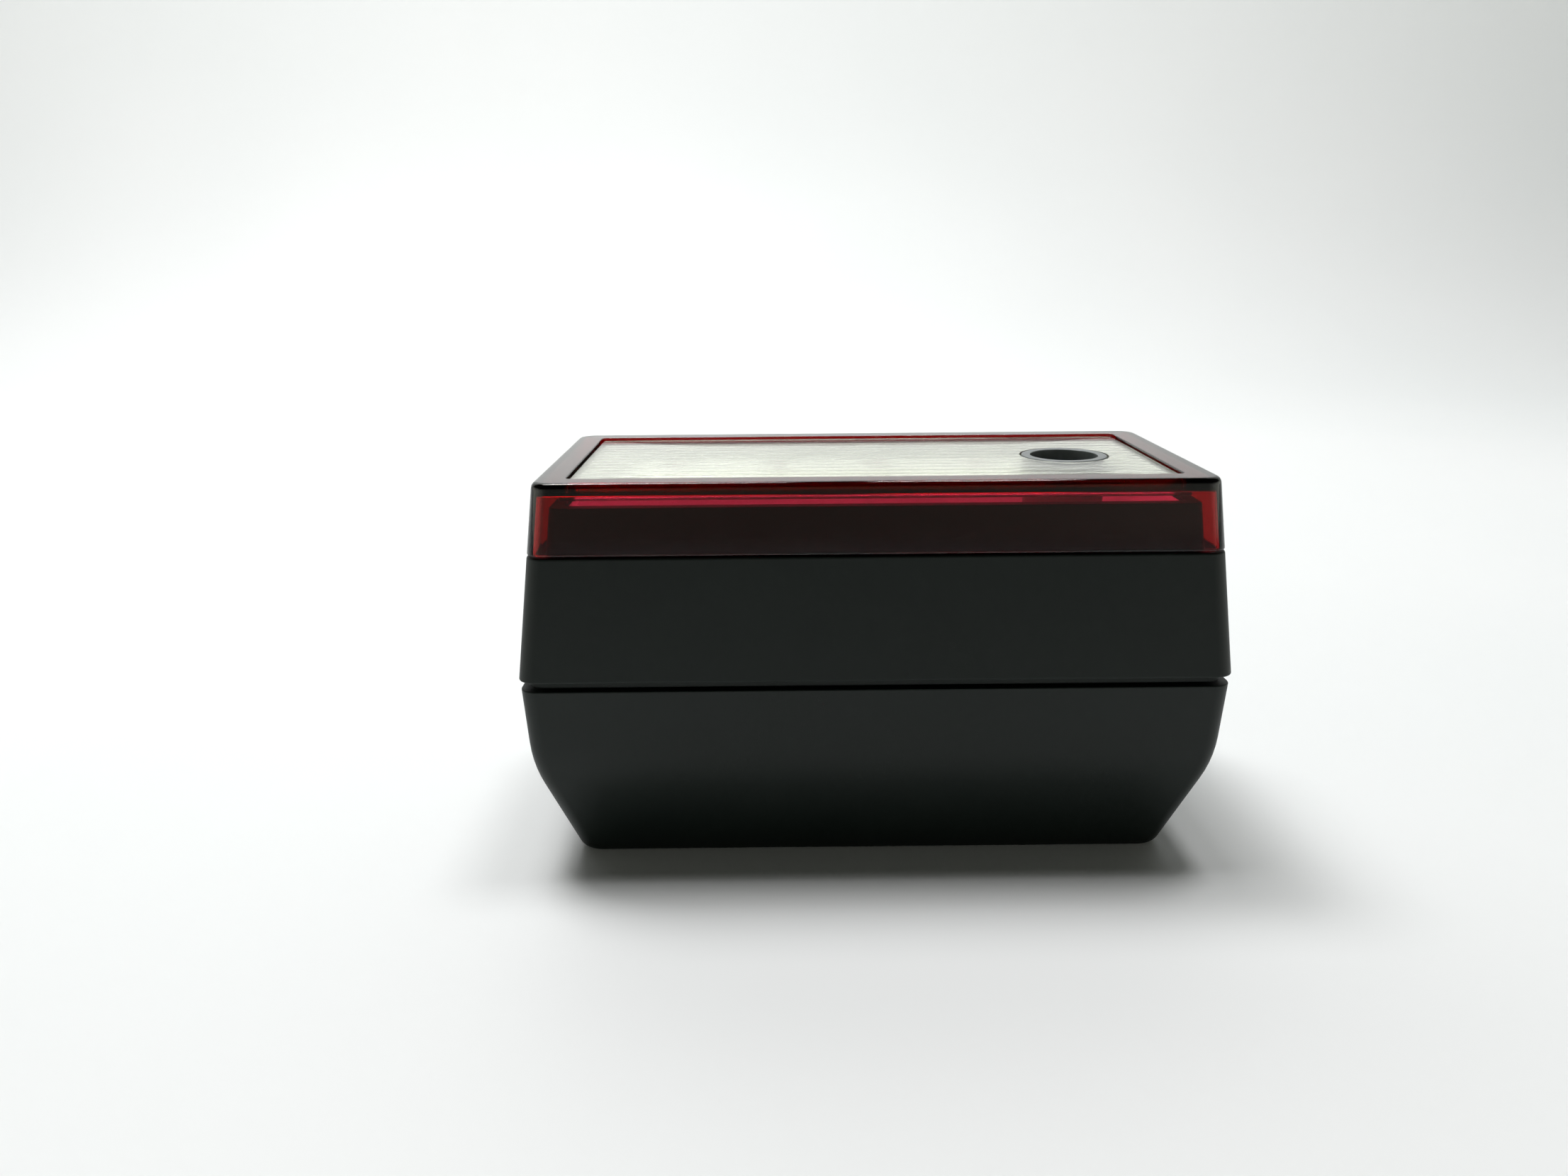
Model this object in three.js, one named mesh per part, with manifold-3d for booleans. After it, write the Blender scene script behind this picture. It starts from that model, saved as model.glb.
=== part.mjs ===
// Battery-powered darkroom safelight: a black casing in two halves with a shadow gap between them,
// a transparent red hood, a clear fluted lens over a white reflector, and a recessed push button.
// Millimetres, +Z up. The origin is the centre of the flat underside.
import * as THREE from 'three';
import { mergeVertices } from 'three/addons/utils/BufferGeometryUtils.js';
import Module from 'manifold-3d';

const wasm = await Module();
wasm.setup();

// ---- Outside sizes ----
const OVERALL_WIDTH = 100; // at the shadow gap, where the light is widest
const OVERALL_DEPTH = 50.1;
const OVERALL_HEIGHT = 56.8;
const BASE_HEIGHT = 27.9;
const SHADOW_GAP = 1.3;
const SHADOW_GAP_DEPTH = 0.9;
const HOOD_HEIGHT = 10.2;
const CORNER_RADIUS = 2.5;
const SIDE_DRAFT = 0.107; // how far the upper sides lean in, per millimetre of height
const FRONT_DRAFT = 0.097;
const BASE_SETBACK = 0.2; // the lower casing's rim, inside the upper casing's rim
const BASE_DRAFT = 0.06;
const KNEE_HEIGHT = 16;
const KNEE_BLEND = 3.5; // the knee is rounded over this height above and below
const SIDE_UNDERCUT = 5.5; // how far the sides slope in from the knee to the underside
const FRONT_UNDERCUT = 6.1;
const BASE_EDGE_RADIUS = 1.2;

// ---- Walls and clearances ----
const WALL = 2.2;
const FLOOR = 2;
const GAP = 0.3; // between pieces that touch
const FREE_GAP = 0.6; // around pieces that pass through others
const OVERCUT = 1;

// ---- Casing joint ----
const TONGUE_DEPTH = 4;
const TONGUE_WALL = 1.6;
const LEDGE = 2; // thickness of the shelf that carries the hood
const DECK_HEIGHT = 6.8; // top of the inner deck, above the upper casing's lower edge
const DECK_THICKNESS = 1.6;
const DECK_WINDOW = { x: 8, halfX: 15, halfY: 7 };
const BOSS_RADIUS = 3.4;
const BOSS_JOINT = 22; // height where the two halves' screw bosses meet
const BOSS_INSET = 7.4; // from the underside's edge to the screws

// ---- Hood, upstand and lens ----
const HOOD_WALL = 1.3;
const HOOD_ROOF = 1.9;
const HOOD_EDGE_RADIUS = 1;
const UPSTAND_INSET = 2.5; // from the hood's outside to the upstand's outside
const UPSTAND_DROP = 0.9; // upstand top below the lens
const UPSTAND_WALL = 2;
const WINDOW_BORDER_SIDE = 4.3; // from the top outline to the window
const WINDOW_BORDER_FRONT = 3.85;
const WINDOW_CORNER = 0.8;
const LENS_SINK = 0.4; // lens face below the hood's top
const LENS_FLANGE = 0.7;
const LENS_LAP = 1.2; // how far the lens flange reaches under the hood's frame
const FLUTE_PITCH = 2.5;
const FLUTE_DEPTH = 0.55;
const FLUTE_MARGIN = 0.9; // plain strip around the flutes

// ---- Push button ----
const BUTTON_SIDE = 19.7; // from the widest outline to the button's axis
const BEZEL_BORE = 5.05;
const BEZEL_RISE = 0.05; // bezel top above the lens face
const BEZEL_SEAT = 0.6; // depth of the step in the lens that takes the bezel
const BEZEL_NECK_WALL = 0.55;
const BEZEL_FLANGE = 0.8; // how far the bezel's flange reaches past its neck
const WELL_WALL = 0.95;
const BUTTON_RECESS = 4.2; // button top below the bezel top
const BUTTON_CAP = 3;
const BUTTON_DISH = 0.5;
const BUTTON_STEM_RADIUS = 1.6;
const BUTTON_TRAVEL = 1.5;
const SWITCH_WIDTH = 6.6;
const SWITCH_HEIGHT = 3;
const STEM_ENGAGEMENT = 1;
const BUTTON_SPRING_RADIUS = 2.9;
const BUTTON_SPRING_WIRE = 0.4;
const BUTTON_SPRING_TURNS = 5;

// ---- Light board and reflector ----
const STANDOFF = 3;
const STANDOFF_RADIUS = 2.6;
const BOARD_THICKNESS = 1.6;
const BOARD_CORNER = 2;
const BOARD_CLEARANCE = 0.8;
const BOARD_SCREW_INSET = 3.2;
const LED_RADIUS = 1.5;
const LED_FLANGE_RADIUS = 1.9;
const LED_FLANGE = 1;
const LED_HEIGHT = 5.3;
const LED_COLUMNS = 4;
const LED_PITCH = 16;
const LED_START = 13.5; // from the reflector floor's left edge to the first column
const LED_ROW_OFFSET = 7;
const REFLECTOR_WALL = 1;
const REFLECTOR_FLARE = 6.5; // how much wider the reflector is at the top, each side
const REFLECTOR_LIFT = 0.4; // reflector floor above the flanges of the light-emitting diodes
const RESISTOR_RADIUS = 0.9;
const RESISTOR_LENGTH = 6;
const RESISTOR_WIRE = 0.3;

// ---- Cells, contacts and battery door ----
const CELL_DIAMETER = 14.5;
const CELL_LENGTH = 50.5; // over the terminal
const CELL_TERMINAL_RADIUS = 2.7;
const CELL_TERMINAL = 1.2;
const CELL_SPACING = 0.6;
const CELL_LIFT = 0.5; // between the door and the cells
const CONTACT_THICKNESS = 0.4;
const CONTACT_HEIGHT = 9.6;
const CONTACT_WIDTH = 9;
const CONTACT_TAB = 2.4;
const CELL_SPRING_LENGTH = 5;
const CELL_SPRING_FOOT = 4;
const CELL_SPRING_HEAD = 2.4;
const CELL_SPRING_WIRE = 0.35;
const CELL_SPRING_TURNS = 3.5;
const BAY_WALL = 1.5;
const DOOR_THICKNESS = 1.7;
const HOOK_WIDTH = 3;
const HOOK_THICKNESS = 0.8;
const HOOK_REACH = 1.2;
const FINGER_SLOT = { length: 3.2, halfWidth: 6, depth: 0.9 };
const LEAD_RADIUS = 0.6;

// ---- Screws ----
const CASE_SCREW = { radius: 1.25, headRadius: 2.5, head: 1.8, length: 25 };
const BOARD_SCREW = { radius: 1, headRadius: 2, head: 1.3, length: 4.6 };
const COUNTERBORE_DEPTH = 4;
const CROSS_WIDTH = 0.7;

// ---- Fineness of round shapes ----
const CORNER_STEPS = 5;
const ROUND_SIDES = 24;
const SMALL_SIDES = 14;

// ---- Levels worked out from the sizes above ----
const bodyBottom = BASE_HEIGHT + SHADOW_GAP;
const bodyTop = OVERALL_HEIGHT - HOOD_HEIGHT;
const roofUnderside = OVERALL_HEIGHT - HOOD_ROOF;
const lensTop = OVERALL_HEIGHT - LENS_SINK;
const lensFlangeTop = roofUnderside - GAP;
const lensBottom = lensFlangeTop - LENS_FLANGE;
const upstandTop = lensBottom - UPSTAND_DROP;
const bezelTop = lensTop + BEZEL_RISE;
const deckTop = bodyBottom + DECK_HEIGHT;
const boardBottom = deckTop + STANDOFF + GAP;
const boardTop = boardBottom + BOARD_THICKNESS;
const partsBottom = boardTop + GAP;
const reflectorFloor = partsBottom + LED_FLANGE + REFLECTOR_LIFT;
const switchTop = partsBottom + SWITCH_HEIGHT;
const buttonTop = bezelTop - BUTTON_RECESS;
const capBottom = buttonTop - BUTTON_CAP;
const cellRadius = CELL_DIAMETER / 2;
const cellAxisZ = DOOR_THICKNESS + CELL_LIFT + cellRadius;
const cellAxisY = cellRadius + CELL_SPACING / 2;
const bayCeiling = cellAxisZ + cellRadius + FREE_GAP;
const bayTop = bayCeiling + BAY_WALL;
const bayHalfX = (CELL_LENGTH + CELL_SPRING_LENGTH) / 2 + CONTACT_THICKNESS + 2.5 * GAP;
const bayHalfY = cellAxisY + cellRadius + GAP;
const wellOuter = BEZEL_BORE + WELL_WALL;
const bezelRadius = BEZEL_BORE + BEZEL_NECK_WALL + BEZEL_FLANGE;

// ---- Solids ----

// A closed mesh as a solid, with its faces turned outward.
function solidOf(geometry) {
  const bare = geometry.clone();
  bare.deleteAttribute('normal');
  bare.deleteAttribute('uv');
  const merged = mergeVertices(bare, 1e-4);
  const positions = merged.attributes.position;
  const corner = [new THREE.Vector3(), new THREE.Vector3(), new THREE.Vector3()];
  const triangles = [];
  let volume = 0;
  for (let i = 0; i < merged.index.count; i += 3) {
    const abc = [merged.index.getX(i), merged.index.getX(i + 1), merged.index.getX(i + 2)];
    if (new Set(abc).size < 3) continue;
    abc.forEach((vertex, k) => corner[k].fromBufferAttribute(positions, vertex));
    volume += corner[0].dot(corner[1].clone().cross(corner[2]));
    triangles.push(abc);
  }
  const outward = volume > 0 ? triangles : triangles.map(([a, b, c]) => [a, c, b]);
  return new wasm.Manifold(new wasm.Mesh({
    numProp: 3,
    vertProperties: Float32Array.from(positions.array),
    triVerts: Uint32Array.from(outward.flat()),
  }));
}

function geometryOf(solid) {
  const mesh = solid.getMesh();
  const geometry = new THREE.BufferGeometry();
  geometry.setAttribute('position', new THREE.BufferAttribute(mesh.vertProperties, 3));
  geometry.setIndex(new THREE.BufferAttribute(mesh.triVerts, 1));
  geometry.computeVertexNormals();
  return geometry;
}

// The outline of a rectangle with round corners, anticlockwise from above.
function roundedOutline(halfX, halfY, radius) {
  const points = [];
  const corners = [[1, 1, 0], [-1, 1, 90], [-1, -1, 180], [1, -1, 270]];
  for (const [sideX, sideY, start] of corners) {
    for (let i = 0; i <= CORNER_STEPS; i++) {
      const angle = THREE.MathUtils.degToRad(start + (90 * i) / CORNER_STEPS);
      const x = sideX * (halfX - radius) + radius * Math.cos(angle);
      const y = sideY * (halfY - radius) + radius * Math.sin(angle);
      points.push([x, y]);
    }
  }
  return points;
}

// A solid skinned over round-cornered rectangles, listed from the lowest to the highest.
function loft(sections) {
  const rings = sections.map((s) => roundedOutline(s.halfX, s.halfY, s.radius));
  const count = rings[0].length;
  const positions = [];
  rings.forEach((ring, level) => ring.forEach(([x, y]) => positions.push(x, y, sections[level].z)));
  const index = [];
  for (let level = 0; level < rings.length - 1; level++) {
    for (let i = 0; i < count; i++) {
      const here = level * count + i;
      const next = level * count + ((i + 1) % count);
      index.push(here, next, next + count, here, next + count, here + count);
    }
  }
  const bottomCentre = positions.length / 3;
  const topCentre = bottomCentre + 1;
  const topRing = (rings.length - 1) * count;
  positions.push(0, 0, sections[0].z, 0, 0, sections[sections.length - 1].z);
  for (let i = 0; i < count; i++) {
    const next = (i + 1) % count;
    index.push(bottomCentre, next, i, topCentre, topRing + i, topRing + next);
  }
  const geometry = new THREE.BufferGeometry();
  geometry.setAttribute('position', new THREE.Float32BufferAttribute(positions, 3));
  geometry.setIndex(index);
  return solidOf(geometry);
}

function slab(halfX, halfY, radius, bottom, top) {
  return loft([{ z: bottom, halfX, halfY, radius }, { z: top, halfX, halfY, radius }]);
}

function box(from, to) {
  const size = to.map((value, axis) => value - from[axis]);
  const geometry = new THREE.BoxGeometry(...size);
  geometry.translate(...to.map((value, axis) => (value + from[axis]) / 2));
  return solidOf(geometry);
}

// A shape turned about the Z axis from [radius, height] points.
function turned(points, sides = ROUND_SIDES) {
  const geometry = new THREE.LatheGeometry(points.map(([r, z]) => new THREE.Vector2(r, z)), sides);
  geometry.rotateX(Math.PI / 2);
  return solidOf(geometry);
}

function rod(radius, bottom, top, x = 0, y = 0, sides = SMALL_SIDES) {
  const solid = turned([[0, bottom], [radius, bottom], [radius, top], [0, top]], sides);
  return solid.translate([x, y, 0]);
}

// A ring turned about the Z axis, closed on itself.
function ring(points, sides = ROUND_SIDES) {
  return turned([...points, points[0]], sides);
}

function circle(radius, sides) {
  const shape = new THREE.Shape();
  for (let i = 0; i < sides; i++) {
    const angle = (2 * Math.PI * i) / sides;
    const place = [radius * Math.cos(angle), radius * Math.sin(angle)];
    if (i === 0) shape.moveTo(...place);
    else shape.lineTo(...place);
  }
  shape.closePath();
  return shape;
}

function wireAlong(curve, radius, steps, sides) {
  const options = { steps, bevelEnabled: false, extrudePath: curve };
  return solidOf(new THREE.ExtrudeGeometry(circle(radius, sides), options));
}

// A coil about the Z axis, which may narrow towards its top.
class Coil extends THREE.Curve {
  constructor(footRadius, headRadius, height, turns) {
    super();
    Object.assign(this, { footRadius, headRadius, height, turns });
  }

  getPoint(t, target = new THREE.Vector3()) {
    const angle = 2 * Math.PI * this.turns * t;
    const radius = THREE.MathUtils.lerp(this.footRadius, this.headRadius, t);
    return target.set(radius * Math.cos(angle), radius * Math.sin(angle), this.height * t);
  }
}

function coilSpring(footRadius, headRadius, length, turns, wire) {
  const run = length - 2 * wire;
  const coil = new Coil(footRadius, headRadius, run, turns);
  return wireAlong(coil, wire, Math.round(turns * 12), 6).translate([0, 0, wire]);
}

// ---- Outlines shared by neighbouring pieces ----

function upperHalf(z) {
  return {
    halfX: OVERALL_WIDTH / 2 - SIDE_DRAFT * (z - bodyBottom),
    halfY: OVERALL_DEPTH / 2 - FRONT_DRAFT * (z - bodyBottom),
  };
}

function upperSection(z, inset, radius) {
  const { halfX, halfY } = upperHalf(z);
  return { z, halfX: halfX - inset, halfY: halfY - inset, radius };
}

// Half a side of the lower casing: near upright to the knee, then sloping in to the underside.
function lowerHalf(z, half, undercut) {
  const kneeHalf = half - BASE_SETBACK - BASE_DRAFT * (BASE_HEIGHT - KNEE_HEIGHT);
  const slope = undercut / KNEE_HEIGHT;
  const rise = z - KNEE_HEIGHT;
  const sharp = kneeHalf + (rise < 0 ? slope : BASE_DRAFT) * rise;
  const within = Math.max(KNEE_BLEND - Math.abs(rise), 0);
  return sharp - ((slope - BASE_DRAFT) * within ** 2) / (4 * KNEE_BLEND);
}

function lowerSection(z, inset, radius) {
  return {
    z,
    halfX: lowerHalf(z, OVERALL_WIDTH / 2, SIDE_UNDERCUT) - inset,
    halfY: lowerHalf(z, OVERALL_DEPTH / 2, FRONT_UNDERCUT) - inset,
    radius,
  };
}

// How far a round edge of this radius draws in at a distance from the flat that it meets.
function edgeInset(radius, distance) {
  return distance >= radius ? 0 : radius - Math.sqrt(radius ** 2 - (radius - distance) ** 2);
}

const kneeLevels = [-1, -0.5, 0, 0.5, 1].map((share) => KNEE_HEIGHT + share * KNEE_BLEND);
const innerCorner = Math.max(CORNER_RADIUS - WALL, 0.5);

const upstandCrown = upperHalf(upstandTop);
const chamber = {
  halfX: upstandCrown.halfX - UPSTAND_INSET - UPSTAND_WALL,
  halfY: upstandCrown.halfY - UPSTAND_INSET - UPSTAND_WALL,
};
const hoodCrown = upperHalf(OVERALL_HEIGHT);
const lensWindow = {
  halfX: hoodCrown.halfX - WINDOW_BORDER_SIDE,
  halfY: hoodCrown.halfY - WINDOW_BORDER_FRONT,
};
const board = { halfX: chamber.halfX - BOARD_CLEARANCE, halfY: chamber.halfY - BOARD_CLEARANCE };
const boardScrewX = board.halfX - BOARD_SCREW_INSET;
const buttonX = Math.min(OVERALL_WIDTH / 2 - BUTTON_SIDE,
  boardScrewX - BOARD_SCREW.headRadius - GAP - wellOuter);
const reflectorTopHalf = { halfX: chamber.halfX - GAP, halfY: chamber.halfY - GAP };
const reflectorFloorHalf = {
  halfX: reflectorTopHalf.halfX - REFLECTOR_FLARE,
  halfY: reflectorTopHalf.halfY - REFLECTOR_FLARE,
};

function casePositions() {
  const { halfX, halfY } = lowerSection(0, BOSS_INSET, 0);
  const x = Math.max(halfX, bayHalfX + BAY_WALL + CASE_SCREW.headRadius + FREE_GAP);
  const y = halfY + BOSS_INSET / 4;
  return [[-x, -y], [-x, y], [x, -y], [x, y]];
}

function ledPositions() {
  const places = [];
  for (let column = 0; column < LED_COLUMNS; column++) {
    const x = -reflectorFloorHalf.halfX - REFLECTOR_FLARE + LED_START + column * LED_PITCH;
    for (const row of [-1, 1]) places.push([x, row * LED_ROW_OFFSET]);
  }
  return places;
}

// ---- Pieces ----

function baseShell() {
  const edge = [0, 0.15, 0.5].map((share) => share * BASE_EDGE_RADIUS);
  const outside = edge.map((z) => lowerSection(z, edgeInset(BASE_EDGE_RADIUS, z), CORNER_RADIUS));
  for (const z of [BASE_EDGE_RADIUS, ...kneeLevels, BASE_HEIGHT]) {
    outside.push(lowerSection(z, 0, CORNER_RADIUS));
  }
  const inside = [FLOOR, ...kneeLevels, BASE_HEIGHT + OVERCUT];
  let shell = loft(outside).subtract(loft(inside.map((z) => lowerSection(z, WALL, innerCorner))));
  const bayOuter = [bayHalfX + BAY_WALL, bayHalfY + BAY_WALL];
  shell = shell.add(box([-bayOuter[0], -bayOuter[1], FLOOR / 2], [...bayOuter, bayTop]));
  for (const [x, y] of casePositions()) {
    shell = shell.add(rod(BOSS_RADIUS, FLOOR / 2, BOSS_JOINT, x, y));
  }
  for (const [x, y] of casePositions()) {
    shell = shell.subtract(rod(CASE_SCREW.radius + GAP, -OVERCUT, BOSS_JOINT + OVERCUT, x, y));
    shell = shell.subtract(rod(CASE_SCREW.headRadius + GAP, -OVERCUT, COUNTERBORE_DEPTH, x, y));
  }
  shell = shell.subtract(box([-bayHalfX, -bayHalfY, -OVERCUT], [bayHalfX, bayHalfY, bayCeiling]));
  for (const y of [-cellAxisY, cellAxisY]) {
    const slot = CONTACT_TAB / 2 + GAP;
    const reach = 3 * GAP + CONTACT_THICKNESS;
    shell = shell.subtract(box([bayHalfX - reach, y - slot, bayCeiling - OVERCUT],
      [bayHalfX, y + slot, bayTop + OVERCUT]));
  }
  for (const y of hookPositions()) {
    const slot = HOOK_WIDTH / 2 + GAP;
    const outer = -bayHalfX - HOOK_REACH - 2 * GAP;
    shell = shell.subtract(box([outer, y - slot, FLOOR],
      [-bayHalfX + OVERCUT, y + slot, FLOOR + HOOK_THICKNESS + 4 * GAP]));
  }
  return shell;
}

function hookPositions() {
  const y = bayHalfY - GAP - HOOK_WIDTH / 2 - GAP;
  return [-y, y];
}

function batteryDoor() {
  const halfX = bayHalfX - GAP;
  const halfY = bayHalfY - GAP;
  let door = box([-halfX, -halfY, 0], [halfX, halfY, DOOR_THICKNESS]);
  const hookBottom = FLOOR + GAP;
  const hookTop = hookBottom + HOOK_THICKNESS;
  for (const y of hookPositions()) {
    const low = y - HOOK_WIDTH / 2;
    const high = y + HOOK_WIDTH / 2;
    door = door.add(box([-halfX, low, DOOR_THICKNESS / 2], [-halfX + HOOK_REACH, high, hookTop]));
    door = door.add(box([-bayHalfX - HOOK_REACH, low, hookBottom],
      [-halfX + HOOK_REACH, high, hookTop]));
  }
  const slotEnd = halfX - 1.5;
  const { length, halfWidth, depth } = FINGER_SLOT;
  return door.subtract(box([slotEnd - length, -halfWidth, -OVERCUT], [slotEnd, halfWidth, depth]));
}

function bodyShell() {
  const tongueBottom = BASE_HEIGHT - TONGUE_DEPTH;
  const tongue = lowerSection(tongueBottom, WALL + GAP, innerCorner);
  const rim = lowerSection(BASE_HEIGHT, SHADOW_GAP_DEPTH, CORNER_RADIUS);
  const seat = BASE_HEIGHT + GAP;
  const cavityTop = bodyTop - LEDGE;
  let shell = loft([upperSection(bodyBottom, 0, CORNER_RADIUS), upperSection(bodyTop, 0, CORNER_RADIUS)]);
  shell = shell.add(slab(rim.halfX, rim.halfY, CORNER_RADIUS, seat, bodyBottom + LEDGE));
  shell = shell.add(slab(tongue.halfX, tongue.halfY, innerCorner, tongueBottom, bodyBottom + LEDGE));
  shell = shell.subtract(slab(tongue.halfX - TONGUE_WALL, tongue.halfY - TONGUE_WALL, innerCorner,
    tongueBottom - OVERCUT, bodyBottom + LEDGE));
  shell = shell.subtract(loft([upperSection(bodyBottom + LEDGE / 2, WALL, innerCorner),
    upperSection(cavityTop, WALL, innerCorner)]));
  shell = shell.add(loft([upperSection(cavityTop, UPSTAND_INSET, CORNER_RADIUS / 2),
    upperSection(upstandTop, UPSTAND_INSET, CORNER_RADIUS / 2)]));
  const deckReach = upperSection(deckTop, WALL / 2, innerCorner);
  shell = shell.add(slab(deckReach.halfX, deckReach.halfY, innerCorner,
    deckTop - DECK_THICKNESS, deckTop));
  shell = shell.subtract(slab(chamber.halfX, chamber.halfY, innerCorner,
    deckTop + GAP, upstandTop + OVERCUT));
  for (const [x, y] of casePositions()) {
    shell = shell.add(rod(BOSS_RADIUS, BOSS_JOINT + GAP, deckTop - DECK_THICKNESS / 2, x, y));
  }
  for (const side of [-1, 1]) {
    shell = shell.add(rod(STANDOFF_RADIUS, deckTop - DECK_THICKNESS / 2, deckTop + STANDOFF,
      side * boardScrewX));
  }
  for (const [x, y] of casePositions()) {
    shell = shell.subtract(rod(CASE_SCREW.radius + GAP, BOSS_JOINT - OVERCUT, caseScrewTop() + GAP, x, y));
  }
  for (const side of [-1, 1]) {
    shell = shell.subtract(rod(BOARD_SCREW.radius + GAP, boardScrewTip() - GAP,
      deckTop + STANDOFF + OVERCUT, side * boardScrewX));
  }
  const { x, halfX, halfY } = DECK_WINDOW;
  return shell.subtract(box([x - halfX, -halfY, deckTop - DECK_THICKNESS - OVERCUT],
    [x + halfX, halfY, deckTop + OVERCUT]));
}

function filterHood() {
  const bottom = bodyTop + GAP;
  const shares = [1, 0.6, 0.25, 0];
  const edge = shares.map((share) => {
    const distance = share * HOOD_EDGE_RADIUS;
    const z = OVERALL_HEIGHT - distance;
    return upperSection(z, edgeInset(HOOD_EDGE_RADIUS, distance), CORNER_RADIUS);
  });
  const outside = loft([upperSection(bottom, 0, CORNER_RADIUS), ...edge]);
  const hollow = loft([upperSection(bottom - OVERCUT, HOOD_WALL, innerCorner + GAP),
    upperSection(roofUnderside, HOOD_WALL, innerCorner + GAP)]);
  const window = slab(lensWindow.halfX, lensWindow.halfY, WINDOW_CORNER,
    roofUnderside - OVERCUT, OVERALL_HEIGHT + OVERCUT);
  return outside.subtract(hollow).subtract(window);
}

function ribbedLens() {
  const halfX = lensWindow.halfX - GAP;
  const halfY = lensWindow.halfY - GAP;
  let lens = slab(halfX, halfY, WINDOW_CORNER, lensBottom, lensTop);
  lens = lens.add(slab(halfX + LENS_LAP, halfY + LENS_LAP, WINDOW_CORNER, lensBottom, lensFlangeTop));
  const fluteHalf = FLUTE_PITCH / 2;
  const fluteRadius = (fluteHalf ** 2 + FLUTE_DEPTH ** 2) / (2 * FLUTE_DEPTH);
  const fluteCount = Math.floor((2 * (halfY - FLUTE_MARGIN)) / FLUTE_PITCH);
  const fluteLength = 2 * (halfX - FLUTE_MARGIN);
  for (let i = 0; i < fluteCount; i++) {
    const y = (i - (fluteCount - 1) / 2) * FLUTE_PITCH;
    const cutter = rod(fluteRadius, -fluteLength / 2, fluteLength / 2).rotate([0, 90, 0]);
    lens = lens.subtract(cutter.translate([0, y, lensBottom - fluteRadius + FLUTE_DEPTH]));
  }
  const hole = BEZEL_BORE + BEZEL_NECK_WALL + GAP;
  lens = lens.subtract(rod(hole, lensBottom - OVERCUT, lensTop + OVERCUT, buttonX, 0, ROUND_SIDES));
  return lens.subtract(rod(bezelRadius + GAP, lensTop - BEZEL_SEAT, lensTop + OVERCUT, buttonX, 0, ROUND_SIDES));
}

function buttonBezel() {
  const neck = BEZEL_BORE + BEZEL_NECK_WALL;
  const underside = lensTop - BEZEL_SEAT + GAP;
  const bevel = (bezelTop - underside) / 2;
  return ring([
    [BEZEL_BORE, lensBottom], [neck, lensBottom], [neck, underside], [bezelRadius, underside],
    [bezelRadius, bezelTop - bevel], [bezelRadius - bevel, bezelTop], [BEZEL_BORE, bezelTop],
  ]).translate([buttonX, 0, 0]);
}

function buttonWell() {
  const top = lensBottom - GAP;
  return ring([
    [BEZEL_BORE, partsBottom], [wellOuter, partsBottom], [wellOuter, top], [BEZEL_BORE, top],
  ]).translate([buttonX, 0, 0]);
}

function pushButton() {
  const radius = BEZEL_BORE - GAP;
  const stemTip = switchTop - STEM_ENGAGEMENT;
  const rimInset = 0.4;
  return turned([
    [0, stemTip], [BUTTON_STEM_RADIUS, stemTip], [BUTTON_STEM_RADIUS, capBottom], [radius, capBottom],
    [radius, buttonTop - rimInset], [radius - rimInset, buttonTop], [radius - 2 * rimInset, buttonTop],
    [radius / 2, buttonTop - 0.75 * BUTTON_DISH], [0, buttonTop - BUTTON_DISH],
  ]).translate([buttonX, 0, 0]);
}

function buttonSpring() {
  const length = capBottom - switchTop - 2 * GAP;
  return coilSpring(BUTTON_SPRING_RADIUS, BUTTON_SPRING_RADIUS, length, BUTTON_SPRING_TURNS,
    BUTTON_SPRING_WIRE).translate([buttonX, 0, switchTop + GAP]);
}

function switchBody() {
  const half = SWITCH_WIDTH / 2;
  const body = slab(half, half, WINDOW_CORNER, partsBottom, switchTop);
  const bore = rod(BUTTON_STEM_RADIUS + GAP, partsBottom - OVERCUT, switchTop + OVERCUT);
  return body.subtract(bore).translate([buttonX, 0, 0]);
}

function lightBoard() {
  let plate = slab(board.halfX, board.halfY, BOARD_CORNER, boardBottom, boardTop);
  for (const side of [-1, 1]) {
    plate = plate.subtract(rod(BOARD_SCREW.radius + GAP, boardBottom - OVERCUT, boardTop + OVERCUT,
      side * boardScrewX));
  }
  return plate;
}

function lightEmittingDiode() {
  const straight = LED_HEIGHT - LED_RADIUS;
  const dome = [0, 30, 60].map((degrees) => {
    const angle = THREE.MathUtils.degToRad(degrees);
    return [LED_RADIUS * Math.cos(angle), straight + LED_RADIUS * Math.sin(angle)];
  });
  return turned([
    [0, 0], [LED_FLANGE_RADIUS, 0], [LED_FLANGE_RADIUS, LED_FLANGE], [LED_RADIUS, LED_FLANGE],
    ...dome, [0, LED_HEIGHT],
  ], SMALL_SIDES);
}

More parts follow.
